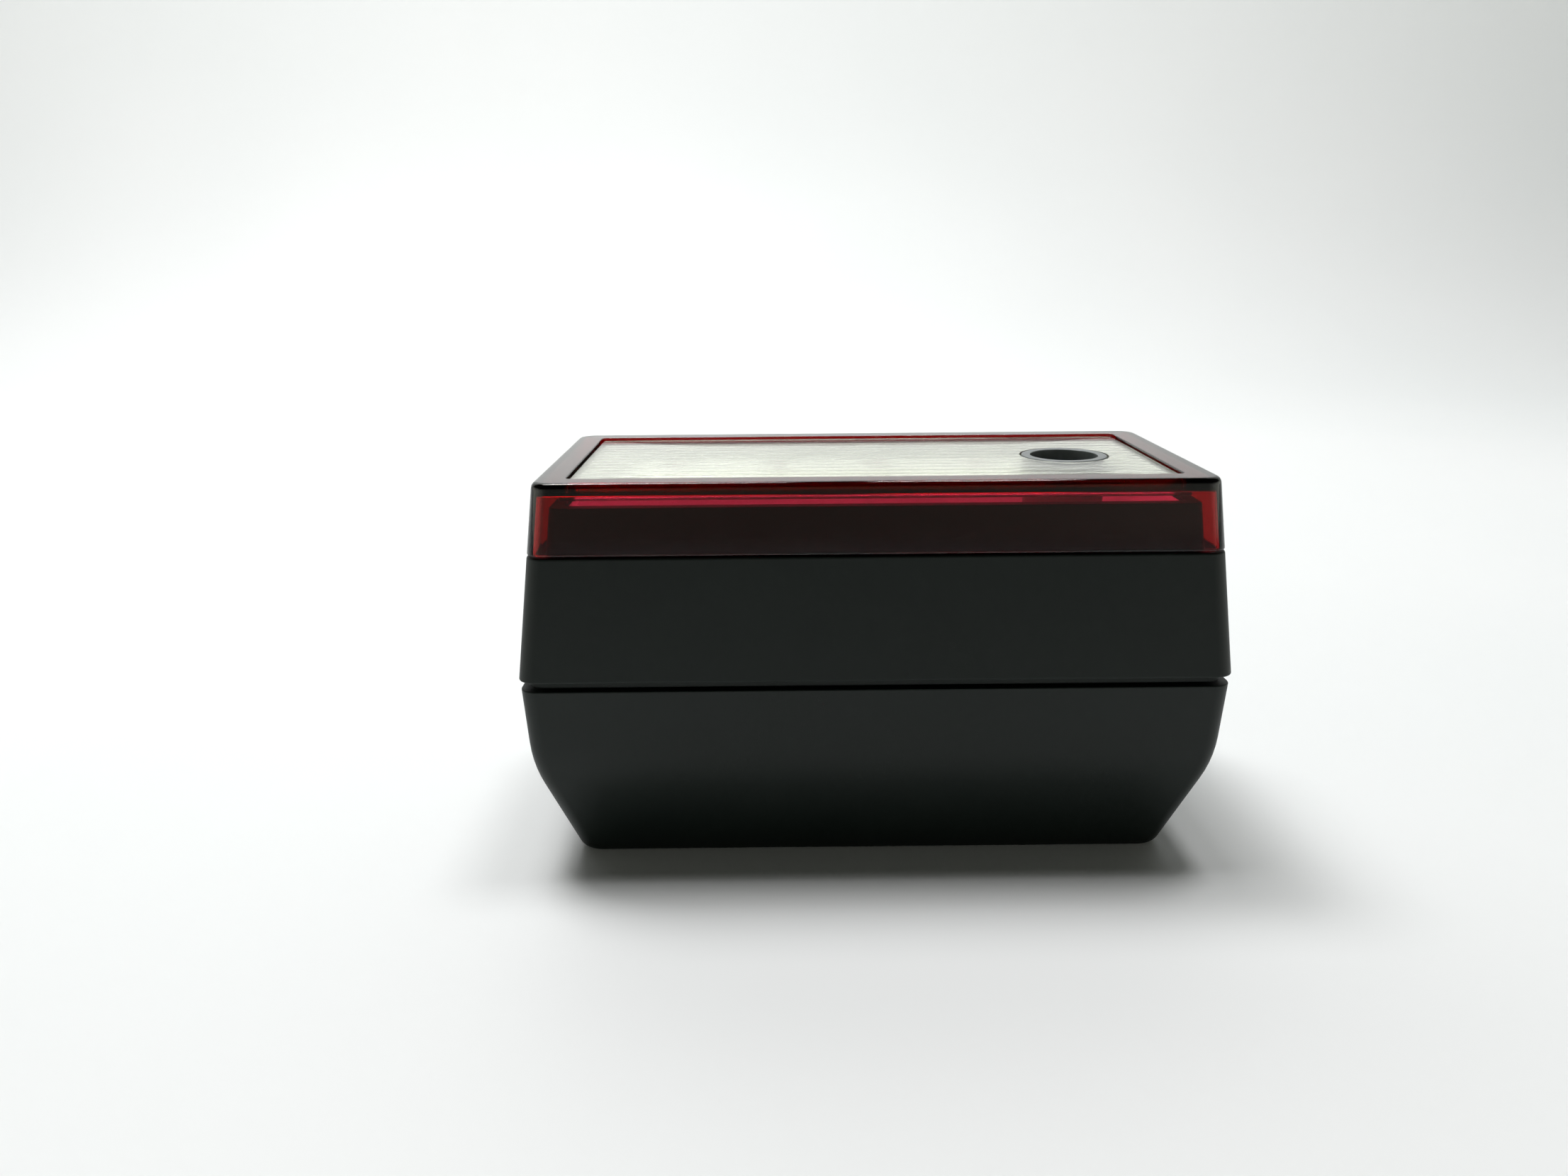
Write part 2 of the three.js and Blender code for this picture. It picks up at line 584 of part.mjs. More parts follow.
function reflectorTray() {
  const floorTop = reflectorFloor + REFLECTOR_WALL;
  const corner = CORNER_RADIUS / 2;
  const flare = (z, inset) => {
    const share = (z - reflectorFloor) / (upstandTop - GAP - reflectorFloor);
    return {
      z,
      halfX: reflectorFloorHalf.halfX + share * REFLECTOR_FLARE - inset,
      halfY: reflectorFloorHalf.halfY + share * REFLECTOR_FLARE - inset,
      radius: corner,
    };
  };
  let tray = loft([flare(reflectorFloor, 0), flare(upstandTop - GAP, 0)]);
  tray = tray.subtract(loft([flare(floorTop, REFLECTOR_WALL), flare(upstandTop + OVERCUT, REFLECTOR_WALL)]));
  const footX = reflectorFloorHalf.halfX - 2.5;
  const footY = reflectorFloorHalf.halfY - 1.8;
  for (const sideX of [-1, 1]) {
    for (const sideY of [-1, 1]) {
      tray = tray.add(rod(1.2, partsBottom, reflectorFloor + REFLECTOR_WALL / 2, sideX * footX, sideY * footY));
    }
  }
  for (const [x, y] of ledPositions()) {
    tray = tray.subtract(rod(LED_RADIUS + GAP, reflectorFloor - OVERCUT, floorTop + OVERCUT, x, y));
  }
  return tray.subtract(rod(wellOuter + GAP, reflectorFloor - LED_FLANGE, upstandTop, buttonX, 0, ROUND_SIDES));
}

function resistor() {
  const half = RESISTOR_LENGTH / 2;
  const tail = half + 2;
  return turned([
    [0, -tail], [RESISTOR_WIRE, -tail], [RESISTOR_WIRE, -half], [RESISTOR_RADIUS, -half + 0.3],
    [RESISTOR_RADIUS, half - 0.3], [RESISTOR_WIRE, half], [RESISTOR_WIRE, tail], [0, tail],
  ], 10).rotate([0, 90, 0]);
}

// A cell about the X axis with its terminal towards +X, centred on its length.
function cell() {
  const half = CELL_LENGTH / 2;
  const shoulder = half - CELL_TERMINAL;
  const edge = 0.5;
  return turned([
    [0, -half], [cellRadius - edge, -half], [cellRadius, -half + edge], [cellRadius, shoulder - edge],
    [cellRadius - edge, shoulder], [CELL_TERMINAL_RADIUS, shoulder], [CELL_TERMINAL_RADIUS, half], [0, half],
  ]).rotate([0, 90, 0]);
}

const contactBottom = cellAxisZ - CONTACT_HEIGHT / 2;
const contactTop = cellAxisZ + CONTACT_HEIGHT / 2;
const tabTop = bayTop + 1.6;
const tabX = bayHalfX - GAP - CONTACT_THICKNESS / 2;

function terminalContact(y) {
  const inner = bayHalfX - GAP - CONTACT_THICKNESS;
  const outer = bayHalfX - GAP;
  const plate = box([inner, y - CONTACT_WIDTH / 2, contactBottom], [outer, y + CONTACT_WIDTH / 2, contactTop]);
  const tab = box([inner, y - CONTACT_TAB / 2, contactTop - OVERCUT], [outer, y + CONTACT_TAB / 2, tabTop]);
  return plate.add(tab);
}

function linkContact() {
  const half = cellAxisY + CONTACT_WIDTH / 2;
  const inner = -bayHalfX + GAP;
  return box([inner, -half, contactBottom], [inner + CONTACT_THICKNESS, half, contactTop]);
}

function cellSpring(side) {
  const foot = bayHalfX - 2 * GAP - CONTACT_THICKNESS;
  const spring = coilSpring(CELL_SPRING_FOOT, CELL_SPRING_HEAD, CELL_SPRING_LENGTH, CELL_SPRING_TURNS,
    CELL_SPRING_WIRE);
  return spring.rotate([0, -90 * side, 0]).translate([side * foot, side * cellAxisY, cellAxisZ]);
}

// A lead from a contact's tab up through the deck window to the underside of the board.
function lead(y) {
  const landing = { x: DECK_WINDOW.x + DECK_WINDOW.halfX - 5, y: Math.sign(y) * 3 };
  const start = tabTop + GAP;
  const end = boardBottom - GAP;
  const rise = end - start;
  const points = [
    new THREE.Vector3(tabX, y, start),
    new THREE.Vector3(tabX, y, start + 0.2 * rise),
    new THREE.Vector3((tabX + landing.x) / 2, (y + landing.y) / 2, start + 0.5 * rise),
    new THREE.Vector3(landing.x, landing.y, start + 0.8 * rise),
    new THREE.Vector3(landing.x, landing.y, end),
  ];
  return wireAlong(new THREE.CatmullRomCurve3(points), LEAD_RADIUS, 20, 8);
}

const caseHeadTop = COUNTERBORE_DEPTH - GAP;

function caseScrewTop() {
  return caseHeadTop + CASE_SCREW.length;
}

function boardScrewTip() {
  return partsBottom - BOARD_SCREW.length;
}

// A cross-head screw with its head's flat face at zero and its shank upward.
function screw({ radius, headRadius, head, length }) {
  const body = turned([
    [0, 0], [headRadius - 0.3, 0], [headRadius, 0.3], [headRadius, head], [radius, head],
    [radius, head + length - 0.8], [radius / 2, head + length], [0, head + length],
  ], SMALL_SIDES);
  const reach = headRadius * 0.65;
  const across = box([-reach, -CROSS_WIDTH / 2, -OVERCUT], [reach, CROSS_WIDTH / 2, head * 0.6]);
  return body.subtract(across).subtract(across.rotate([0, 0, 90]));
}

// ---- Assembly ----

const finishes = {
  blackPlastic: { color: 0x1b1f1e, roughness: 0.55, metalness: 0 },
  redPlastic: { color: 0x7a0a18, roughness: 0.12, metalness: 0 },
  clearPlastic: { color: 0xdadcd4, roughness: 0.1, metalness: 0 },
  greyPlastic: { color: 0xa2a6a8, roughness: 0.35, metalness: 0.2 },
  whitePlastic: { color: 0xe6e6e0, roughness: 0.6, metalness: 0 },
  board: { color: 0x1f4a2c, roughness: 0.5, metalness: 0 },
  diode: { color: 0xe6dcd8, roughness: 0.15, metalness: 0 },
  steel: { color: 0xb4b6b8, roughness: 0.3, metalness: 1 },
  resistor: { color: 0xc8ad84, roughness: 0.5, metalness: 0 },
  cellSleeve: { color: 0x3c5a78, roughness: 0.35, metalness: 0.3 },
  redLead: { color: 0xa31414, roughness: 0.5, metalness: 0 },
  blackLead: { color: 0x141414, roughness: 0.5, metalness: 0 },
};

const safelight = new THREE.Group();

function place(name, solid, finish) {
  const mesh = new THREE.Mesh(geometryOf(solid), new THREE.MeshStandardMaterial(finish));
  mesh.name = name;
  safelight.add(mesh);
}

place('base_shell', baseShell(), finishes.blackPlastic);
place('body_shell', bodyShell(), finishes.blackPlastic);
place('filter_hood', filterHood(), finishes.redPlastic);
place('ribbed_lens', ribbedLens(), finishes.clearPlastic);
place('button_bezel', buttonBezel(), finishes.greyPlastic);
place('button_well', buttonWell(), finishes.blackPlastic);
place('push_button', pushButton(), finishes.blackPlastic);
place('button_spring', buttonSpring(), finishes.steel);
place('switch_body', switchBody(), finishes.blackPlastic);
place('light_board', lightBoard(), finishes.board);
place('reflector_tray', reflectorTray(), finishes.whitePlastic);
ledPositions().forEach(([x, y], i) => {
  place(`led_${i + 1}`, lightEmittingDiode().translate([x, y, partsBottom]), finishes.diode);
});
[-1, 1].forEach((side, i) => {
  const z = boardBottom - GAP - RESISTOR_RADIUS;
  place(`resistor_${i + 1}`, resistor().translate([DECK_WINDOW.x - 5, side * 3.5, z]), finishes.resistor);
});
place('battery_door', batteryDoor(), finishes.blackPlastic);
const cellShift = CELL_SPRING_LENGTH / 2 + GAP / 2;
place('aa_cell_1', cell().translate([cellShift, -cellAxisY, cellAxisZ]), finishes.cellSleeve);
place('aa_cell_2', cell().rotate([0, 0, 180]).translate([-cellShift, cellAxisY, cellAxisZ]),
  finishes.cellSleeve);
place('positive_contact', terminalContact(-cellAxisY), finishes.steel);
place('negative_contact', terminalContact(cellAxisY), finishes.steel);
place('link_contact', linkContact(), finishes.steel);
place('cell_spring_1', cellSpring(-1), finishes.steel);
place('cell_spring_2', cellSpring(1), finishes.steel);
place('red_lead', lead(-cellAxisY), finishes.redLead);
place('black_lead', lead(cellAxisY), finishes.blackLead);
casePositions().forEach(([x, y], i) => {
  const z = caseHeadTop - CASE_SCREW.head;
  place(`case_screw_${i + 1}`, screw(CASE_SCREW).translate([x, y, z]), finishes.steel);
});
[-1, 1].forEach((side, i) => {
  const z = partsBottom + BOARD_SCREW.head;
  const turnedOver = screw(BOARD_SCREW).rotate([180, 0, 0]).translate([side * boardScrewX, 0, z]);
  place(`board_screw_${i + 1}`, turnedOver, finishes.steel);
});

export default safelight;
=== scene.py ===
"""A battery-powered darkroom safelight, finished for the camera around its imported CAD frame.

Sizes are in metres. Places come from the frame's boxes; MM turns the few sizes of detail into metres.
"""
import math

import bmesh
import bpy
from mathutils import Euler, Matrix, Vector


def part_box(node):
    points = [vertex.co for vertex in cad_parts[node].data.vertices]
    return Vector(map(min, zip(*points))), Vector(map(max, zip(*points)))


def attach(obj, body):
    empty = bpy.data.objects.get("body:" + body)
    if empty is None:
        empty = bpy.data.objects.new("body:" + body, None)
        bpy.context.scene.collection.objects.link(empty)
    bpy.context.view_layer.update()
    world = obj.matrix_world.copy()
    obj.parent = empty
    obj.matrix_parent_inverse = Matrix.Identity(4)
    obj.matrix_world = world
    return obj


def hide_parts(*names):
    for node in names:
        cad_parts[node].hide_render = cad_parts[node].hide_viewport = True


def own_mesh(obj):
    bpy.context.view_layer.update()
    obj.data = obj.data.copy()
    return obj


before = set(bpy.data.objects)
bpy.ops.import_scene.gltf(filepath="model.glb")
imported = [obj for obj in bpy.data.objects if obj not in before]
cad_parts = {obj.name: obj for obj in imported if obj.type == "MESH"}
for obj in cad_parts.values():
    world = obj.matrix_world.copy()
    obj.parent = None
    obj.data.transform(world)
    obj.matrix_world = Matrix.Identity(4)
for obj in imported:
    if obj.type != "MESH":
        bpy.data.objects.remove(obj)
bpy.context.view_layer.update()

MM = 0.001

# ---- Sizes that the frame's boxes don't give ----
SIDE_DRAFT = 0.107
FRONT_DRAFT = 0.097
BASE_DRAFT = 0.06
KNEE_HEIGHT = 16 * MM
KNEE_BLEND = 3.5 * MM
SIDE_UNDERCUT = 5.5 * MM
FRONT_UNDERCUT = 6.1 * MM
CORNER_RADIUS = 2.5 * MM
SHADOW_GAP = 1.3 * MM
SHADOW_GAP_DEPTH = 0.9 * MM
WALL = 2.2 * MM
FLOOR = 2 * MM
GAP = 0.3 * MM
HOOD_WALL = 1.3 * MM
HOOD_ROOF = 1.9 * MM
UPSTAND_WALL = 2 * MM
UPSTAND_INSET = 2.5 * MM
LEDGE = 2 * MM
TONGUE_WALL = 1.6 * MM
DECK_THICKNESS = 1.6 * MM
DECK_HEIGHT = 6.8 * MM
BAY_WALL = 1.5 * MM
BOSS_RADIUS = 3.4 * MM
FLUTE_PITCH = 2.5 * MM
FLUTE_DEPTH = 0.55 * MM
FLUTE_MARGIN = 0.9 * MM
LENS_LAP = 1.2 * MM
LENS_BORE = 5.9 * MM
BEZEL_SEAT = 0.6 * MM
BEZEL_NECK = 0.55 * MM
WELL_BORE = 5.05 * MM
BUTTON_CAP = 3 * MM
BUTTON_STEM = 1.6 * MM
BOSS_TOP = 22 * MM
CASE_PILOT = 1.55 * MM
CASE_PILOT_TOP = 29.1 * MM
BOARD_PILOT = 1.3 * MM
BOARD_STANDOFF_RADIUS = 2.6 * MM
REFLECTOR_FLARE = 6.5 * MM
REFLECTOR_WALL = 1 * MM
DIODE_RADIUS = 1.5 * MM
SPRING_WIRE = 0.4 * MM
CELL_SPRING_WIRE = 0.35 * MM
LEAD_RADIUS = 0.6 * MM
DOOR_THICKNESS = 1.7 * MM
HOOK_WIDTH = 3 * MM
HOOK_POST = 1.2 * MM
HOOK_INSET = 1.8 * MM

CORNER_STEPS = 12
ROUND_SIDES = 96
SHARP_ANGLE = math.radians(32)


def low(node):
    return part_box(node)[0]


def high(node):
    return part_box(node)[1]


def middle(node):
    return (low(node) + high(node)) / 2


TOP = high("filter_hood").z
HOOD_FOOT = low("filter_hood").z
BODY_TOP = HOOD_FOOT - GAP
BASE_TOP = high("base_shell").z
BODY_BOTTOM = BASE_TOP + SHADOW_GAP
WIDEST = high("body_shell")
BASE_RIM = high("base_shell")
LENS_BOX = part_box("ribbed_lens")
BUTTON_AXIS = middle("button_bezel")


# ---- Profiles and meshes ----

def lerp(a, b, t):
    return tuple(x + (y - x) * t for x, y in zip(a, b))


def softened(points, steps=5, closed=False):
    """Rounds the corners of a profile. Each entry is (values, reach), and reach is the length rounded."""
    out = []
    count = len(points)
    for i, (here, reach) in enumerate(points):
        ends = not closed and i in (0, count - 1)
        if ends or reach <= 0:
            out.append(here)
            continue
        before = points[i - 1][0]
        after = points[(i + 1) % count][0]
        start = lerp(here, before, min(0.5, reach / max(distance(here, before), 1e-9)))
        end = lerp(here, after, min(0.5, reach / max(distance(here, after), 1e-9)))
        for k in range(steps + 1):
            t = k / steps
            out.append(lerp(lerp(start, here, t), lerp(here, end, t), t))
    return out


def distance(a, b):
    return math.sqrt(sum((x - y) ** 2 for x, y in zip(a[:3], b[:3])))


def rounded_outline(half_x, half_y, radius):
    points = []
    for side_x, side_y, start in ((1, 1, 0), (-1, 1, 90), (-1, -1, 180), (1, -1, 270)):
        for i in range(CORNER_STEPS + 1):
            angle = math.radians(start + 90 * i / CORNER_STEPS)
            points.append((side_x * (half_x - radius) + radius * math.cos(angle),
                           side_y * (half_y - radius) + radius * math.sin(angle)))
    return points


def new_object(name, bm, smooth=True):
    bmesh.ops.recalc_face_normals(bm, faces=bm.faces)
    mesh = bpy.data.meshes.new(name)
    bm.to_mesh(mesh)
    bm.free()
    obj = bpy.data.objects.new(name, mesh)
    bpy.context.scene.collection.objects.link(obj)
    if smooth:
        shade_smooth(obj)
    return obj


def shade_smooth(obj, angle=SHARP_ANGLE):
    obj.data.polygons.foreach_set("use_smooth", [True] * len(obj.data.polygons))
    obj.data.set_sharp_from_angle(angle=angle)


def skinned(name, rings, closed=False, caps=True):
    """A mesh through rings of points. closed joins the last ring to the first; caps fills both ends."""
    bm = bmesh.new()
    loops = [[bm.verts.new(p) for p in ring] for ring in rings]
    pairs = list(zip(loops, loops[1:]))
    if closed:
        pairs.append((loops[-1], loops[0]))
    for a, b in pairs:
        for i in range(len(a)):
            j = (i + 1) % len(a)
            bm.faces.new((a[i], a[j], b[j], b[i]))
    if caps and not closed:
        bm.faces.new(list(reversed(loops[0])))
        bm.faces.new(loops[-1])
    return new_object(name, bm)


def lofted(name, profile, closed=False, steps=5):
    """Skins round-cornered rectangles. Each profile entry is ((half_x, half_y, z, corner), reach)."""
    rings = []
    for half_x, half_y, z, corner in softened(profile, steps, closed):
        rings.append([(x, y, z) for x, y in rounded_outline(half_x, half_y, corner)])
    return skinned(name, rings, closed=closed)


def turned(name, profile, centre=(0, 0, 0), sides=ROUND_SIDES, closed=False, steps=5):
    """Turns ((radius, z, 0), reach) entries about a vertical axis."""
    bm = bmesh.new()
    columns = []
    for radius, z, _ in softened(profile, steps, closed):
        if radius < 1e-7:
            columns.append([bm.verts.new((centre[0], centre[1], centre[2] + z))])
            continue
        column = []
        for i in range(sides):
            angle = 2 * math.pi * i / sides
            column.append(bm.verts.new((centre[0] + radius * math.cos(angle),
                                        centre[1] + radius * math.sin(angle), centre[2] + z)))
        columns.append(column)
    pairs = list(zip(columns, columns[1:]))
    if closed:
        pairs.append((columns[-1], columns[0]))
    for a, b in pairs:
        for i in range(sides):
            j = (i + 1) % sides
            if len(a) == 1:
                bm.faces.new((a[0], b[j], b[i]))
            elif len(b) == 1:
                bm.faces.new((a[i], a[j], b[0]))
            else:
                bm.faces.new((a[i], a[j], b[j], b[i]))
    return new_object(name, bm)


def boxed(name, lo, hi, bevel=0.0):
    bm = bmesh.new()
    bmesh.ops.create_cube(bm, size=1)
    size = Vector(hi) - Vector(lo)
    centre = (Vector(hi) + Vector(lo)) / 2
    for v in bm.verts:
        v.co = Vector(v.co[i] * size[i] + centre[i] for i in range(3))
    if bevel > 0:
        bmesh.ops.bevel(bm, geom=list(bm.edges), offset=bevel, segments=3, affect="EDGES", profile=0.5)
    return new_object(name, bm)


def tube(name, points, radius, sides=16):
    """A round wire along a list of points, closed at both ends."""
    points = [Vector(p) for p in points]
    rings = []
    across = None
    for i, p in enumerate(points):
        ahead = points[min(i + 1, len(points) - 1)]
        behind = points[max(i - 1, 0)]
        along = (ahead - behind).normalized()
        if across is None:
            across = along.orthogonal().normalized()
        across = (across - along * across.dot(along)).normalized()
        up = along.cross(across)
        rings.append([p + radius * (math.cos(a) * across + math.sin(a) * up)
                      for a in (2 * math.pi * k / sides for k in range(sides))])
    return skinned(name, rings)


def combined(obj, other, operation):
    """Applies a boolean with another object, which is then removed."""
    modifier = obj.modifiers.new("cut", "BOOLEAN")
    modifier.operation = operation
    modifier.solver = "EXACT"
    modifier.object = other
    depsgraph = bpy.context.evaluated_depsgraph_get()
    mesh = bpy.data.meshes.new_from_object(obj.evaluated_get(depsgraph))
    obj.modifiers.clear()
    obj.data = mesh
    bpy.data.objects.remove(other)
    shade_smooth(obj)
    return obj


def cut(obj, other):
    return combined(obj, other, "DIFFERENCE")


def joined(obj, other):
    return combined(obj, other, "UNION")


def rod(radius, bottom, top, x=0.0, y=0.0, sides=48):
    corners = [(0, bottom), (radius, bottom), (radius, top), (0, top)]
    return turned("rod", [((r, z, 0), 0) for r, z in corners], centre=(x, y, 0), sides=sides)


def weighted(obj):
    modifier = obj.modifiers.new("even_normals", "WEIGHTED_NORMAL")
    modifier.keep_sharp = True
    return obj


# ---- Materials ----

def new_material(name, **inputs):
    material = bpy.data.materials.new(name)
    material.use_nodes = True
    shader = material.node_tree.nodes["Principled BSDF"]
    for key, value in inputs.items():
        shader.inputs[key.replace("_", " ")].default_value = value
    return material, material.node_tree, shader


def node(tree, kind, **values):
    made = tree.nodes.new(kind)
    for key, value in values.items():
        if key in made.inputs:
            made.inputs[key].default_value = value
        else:
            setattr(made, key, value)
    return made


def noise(tree, scale, detail=3.0, roughness=0.55):
    where = node(tree, "ShaderNodeTexCoord")
    texture = node(tree, "ShaderNodeTexNoise", Scale=scale, Detail=detail, Roughness=roughness)
    tree.links.new(where.outputs["Object"], texture.inputs["Vector"])
    return texture.outputs["Fac"]


def ramp(tree, source, stops):
    made = node(tree, "ShaderNodeValToRGB")
    elements = made.color_ramp.elements
    while len(elements) < len(stops):
        elements.new(0.5)
    for element, (position, colour) in zip(elements, stops):
        element.position = position
        element.color = (*colour, 1)
    tree.links.new(source, made.inputs["Fac"])
    return made.outputs["Color"]


def spread(tree, source, lowest, highest):
    made = node(tree, "ShaderNodeMapRange")
    made.inputs["To Min"].default_value = lowest
    made.inputs["To Max"].default_value = highest
    tree.links.new(source, made.inputs["Value"])
    return made.outputs["Result"]


def bump(tree, shader, source, strength, height):
    made = node(tree, "ShaderNodeBump", Strength=strength, Distance=height)
    tree.links.new(source, made.inputs["Height"])
    tree.links.new(made.outputs["Normal"], shader.inputs["Normal"])


def moulded_black():
    """Black plastic with a fine spark-eroded grain."""
    material, tree, shader = new_material("moulded_black", Specular_IOR_Level=0.3)
    grain = noise(tree, 3800, detail=2)
    patches = noise(tree, 90, detail=3)
    colour = ramp(tree, patches, [(0.3, (0.0045, 0.0085, 0.007)), (0.7, (0.006, 0.0105, 0.0085))])
    tree.links.new(colour, shader.inputs["Base Color"])
    tree.links.new(spread(tree, patches, 0.44, 0.52), shader.inputs["Roughness"])
    bump(tree, shader, grain, 0.35, 0.03 * MM)
    return material


def transparent_red():
    """Deep red transparent plastic, darker the further light travels in it."""
    material, tree, shader = new_material("transparent_red", Base_Color=(1, 0.9, 0.9, 1), IOR=1.49,
                                          Transmission_Weight=1.0)
    wear = noise(tree, 240, detail=4)
    tree.links.new(spread(tree, wear, 0.03, 0.09), shader.inputs["Roughness"])
    absorb = node(tree, "ShaderNodeVolumeAbsorption", Density=3000.0)
    absorb.inputs["Color"].default_value = (0.84, 0.02, 0.3, 1)
    tree.links.new(absorb.outputs["Volume"], tree.nodes["Material Output"].inputs["Volume"])
    return material


def clear_plastic():
    """Clear plastic whose upright edges carry painted shade: their colour is darkened by face direction, as
    they pass little light.
    """
    material, tree, shader = new_material("clear_plastic", IOR=1.49, Transmission_Weight=1.0)
    facing = node(tree, "ShaderNodeNewGeometry")
    split = node(tree, "ShaderNodeSeparateXYZ")
    tree.links.new(facing.outputs["Normal"], split.inputs["Vector"])
    level = node(tree, "ShaderNodeMath", operation="ABSOLUTE")
    tree.links.new(split.outputs["Z"], level.inputs[0])
    # painted shade: upright faces get a near-black colour, flat faces a near-white one
    painted_edge_shade = ramp(tree, level.outputs["Value"], [(0.25, (0.035, 0.035, 0.03)), (0.45, (0.99, 1.0, 0.985))])
    tree.links.new(painted_edge_shade, shader.inputs["Base Color"])
    wear = noise(tree, 300, detail=4)
    tree.links.new(spread(tree, wear, 0.17, 0.23), shader.inputs["Roughness"])
    absorb = node(tree, "ShaderNodeVolumeAbsorption", Density=80.0)
    absorb.inputs["Color"].default_value = (0.5, 0.55, 0.3, 1)
    tree.links.new(absorb.outputs["Volume"], tree.nodes["Material Output"].inputs["Volume"])
    return material


def satin_grey():
    material, tree, shader = new_material("satin_grey", Metallic=0.35)
    patches = noise(tree, 600)
    colour = ramp(tree, patches, [(0.35, (0.15, 0.165, 0.17)), (0.65, (0.19, 0.205, 0.21))])
    tree.links.new(colour, shader.inputs["Base Color"])
    tree.links.new(spread(tree, patches, 0.3, 0.4), shader.inputs["Roughness"])
    bump(tree, shader, noise(tree, 5000, detail=2), 0.15, 0.02 * MM)
    return material


def satin_white():
    material, tree, shader = new_material("satin_white", Specular_IOR_Level=0.5)
    patches = noise(tree, 120)
    colour = ramp(tree, patches, [(0.3, (0.36, 0.365, 0.335)), (0.7, (0.41, 0.415, 0.385))])
    tree.links.new(colour, shader.inputs["Base Color"])
    tree.links.new(spread(tree, patches, 0.45, 0.6), shader.inputs["Roughness"])
    bump(tree, shader, noise(tree, 3000), 0.1, 0.02 * MM)
    return material


def matt_black(name="matt_black"):
    material, tree, shader = new_material(name, Specular_IOR_Level=0.2)
    patches = noise(tree, 700)
    colour = ramp(tree, patches, [(0.3, (0.006, 0.007, 0.006)), (0.7, (0.011, 0.012, 0.01))])
    tree.links.new(colour, shader.inputs["Base Color"])
    tree.links.new(spread(tree, patches, 0.6, 0.75), shader.inputs["Roughness"])
    bump(tree, shader, noise(tree, 4000), 0.2, 0.02 * MM)
    return material


def sleeve_with_painted_light():
    """Black inside the bore, with painted light outside: grey where the sleeve stands in the reflector,
    though the sleeve is black plastic throughout.
    """
    material, tree, shader = new_material("sleeve_with_painted_light", Specular_IOR_Level=0.2)
    where = node(tree, "ShaderNodeTexCoord")
    flat = node(tree, "ShaderNodeVectorMath", operation="MULTIPLY")
    flat.inputs[1].default_value = (1, 1, 0)
    tree.links.new(where.outputs["Object"], flat.inputs[0])
    away = node(tree, "ShaderNodeVectorMath", operation="DISTANCE")
    away.inputs[1].default_value = (BUTTON_AXIS.x, BUTTON_AXIS.y, 0)
    tree.links.new(flat.outputs["Vector"], away.inputs[0])
    share = node(tree, "ShaderNodeMapRange")
    share.inputs["From Min"].default_value = WELL_BORE
    share.inputs["From Max"].default_value = WELL_BORE + 0.6 * MM
    tree.links.new(away.outputs["Value"], share.inputs["Value"])
    # painted light: the outside of the sleeve turns grey, the bore stays black
    colour = ramp(tree, share.outputs["Result"], [(0.4, (0.009, 0.01, 0.008)), (0.7, (0.17, 0.17, 0.155))])
    tree.links.new(colour, shader.inputs["Base Color"])
    tree.links.new(spread(tree, noise(tree, 700), 0.6, 0.75), shader.inputs["Roughness"])
    bump(tree, shader, noise(tree, 4000), 0.2, 0.02 * MM)
    return material


def plated_steel():
    material, tree, shader = new_material("plated_steel", Metallic=1.0)
    patches = noise(tree, 900, detail=4)
    colour = ramp(tree, patches, [(0.3, (0.5, 0.5, 0.5)), (0.7, (0.66, 0.66, 0.65))])
    tree.links.new(colour, shader.inputs["Base Color"])
    tree.links.new(spread(tree, patches, 0.22, 0.38), shader.inputs["Roughness"])
    return material


def solder_mask():
    """Green board with faint copper tracks under the mask."""
    material, tree, shader = new_material("solder_mask", Coat_Weight=0.4, Coat_Roughness=0.2)
    where = node(tree, "ShaderNodeTexCoord")
    tracks = node(tree, "ShaderNodeTexBrick", Scale=110.0)
    tracks.inputs["Mortar Size"].default_value = 0.045
    tracks.inputs["Color1"].default_value = (0.012, 0.075, 0.03, 1)
    tracks.inputs["Color2"].default_value = (0.015, 0.085, 0.034, 1)
    tracks.inputs["Mortar"].default_value = (0.03, 0.14, 0.05, 1)
    tree.links.new(where.outputs["Object"], tracks.inputs["Vector"])
    tree.links.new(tracks.outputs["Color"], shader.inputs["Base Color"])
    tree.links.new(spread(tree, noise(tree, 400), 0.35, 0.5), shader.inputs["Roughness"])
    return material


def pale_epoxy():
    material, tree, shader = new_material("pale_epoxy", IOR=1.5, Transmission_Weight=0.5)
    patches = noise(tree, 500)
    colour = ramp(tree, patches, [(0.3, (0.8, 0.72, 0.7)), (0.7, (0.88, 0.8, 0.78))])
    tree.links.new(colour, shader.inputs["Base Color"])
    tree.links.new(spread(tree, patches, 0.06, 0.12), shader.inputs["Roughness"])
    return material


def sheath(name, colour):
    material, tree, shader = new_material(name)
    dull = tuple(0.8 * c for c in colour)
    tree.links.new(ramp(tree, noise(tree, 800), [(0.3, dull), (0.7, colour)]), shader.inputs["Base Color"])
    tree.links.new(spread(tree, noise(tree, 1500), 0.4, 0.55), shader.inputs["Roughness"])
    return material


def banded(name, axis, origin, bands, roughness, metallic=0.0):
    """Bands of colour along one axis. Each band is (distance from the origin in metres, colour)."""
    material, tree, shader = new_material(name, Metallic=metallic)
    where = node(tree, "ShaderNodeTexCoord")
    split = node(tree, "ShaderNodeSeparateXYZ")
    tree.links.new(where.outputs["Object"], split.inputs["Vector"])
    reach = bands[-1][0]
    share = node(tree, "ShaderNodeMapRange")
    share.inputs["From Min"].default_value = origin
    share.inputs["From Max"].default_value = origin + reach
    tree.links.new(split.outputs[axis], share.inputs["Value"])
    stops = [(place / reach, colour) for place, colour in bands]
    colours = ramp(tree, share.outputs["Result"], stops)
    colours.node.color_ramp.interpolation = "CONSTANT"
    tree.links.new(colours, shader.inputs["Base Color"])
    spots = noise(tree, 700)
    tree.links.new(spread(tree, spots, roughness * 0.8, roughness * 1.2), shader.inputs["Roughness"])
    return material


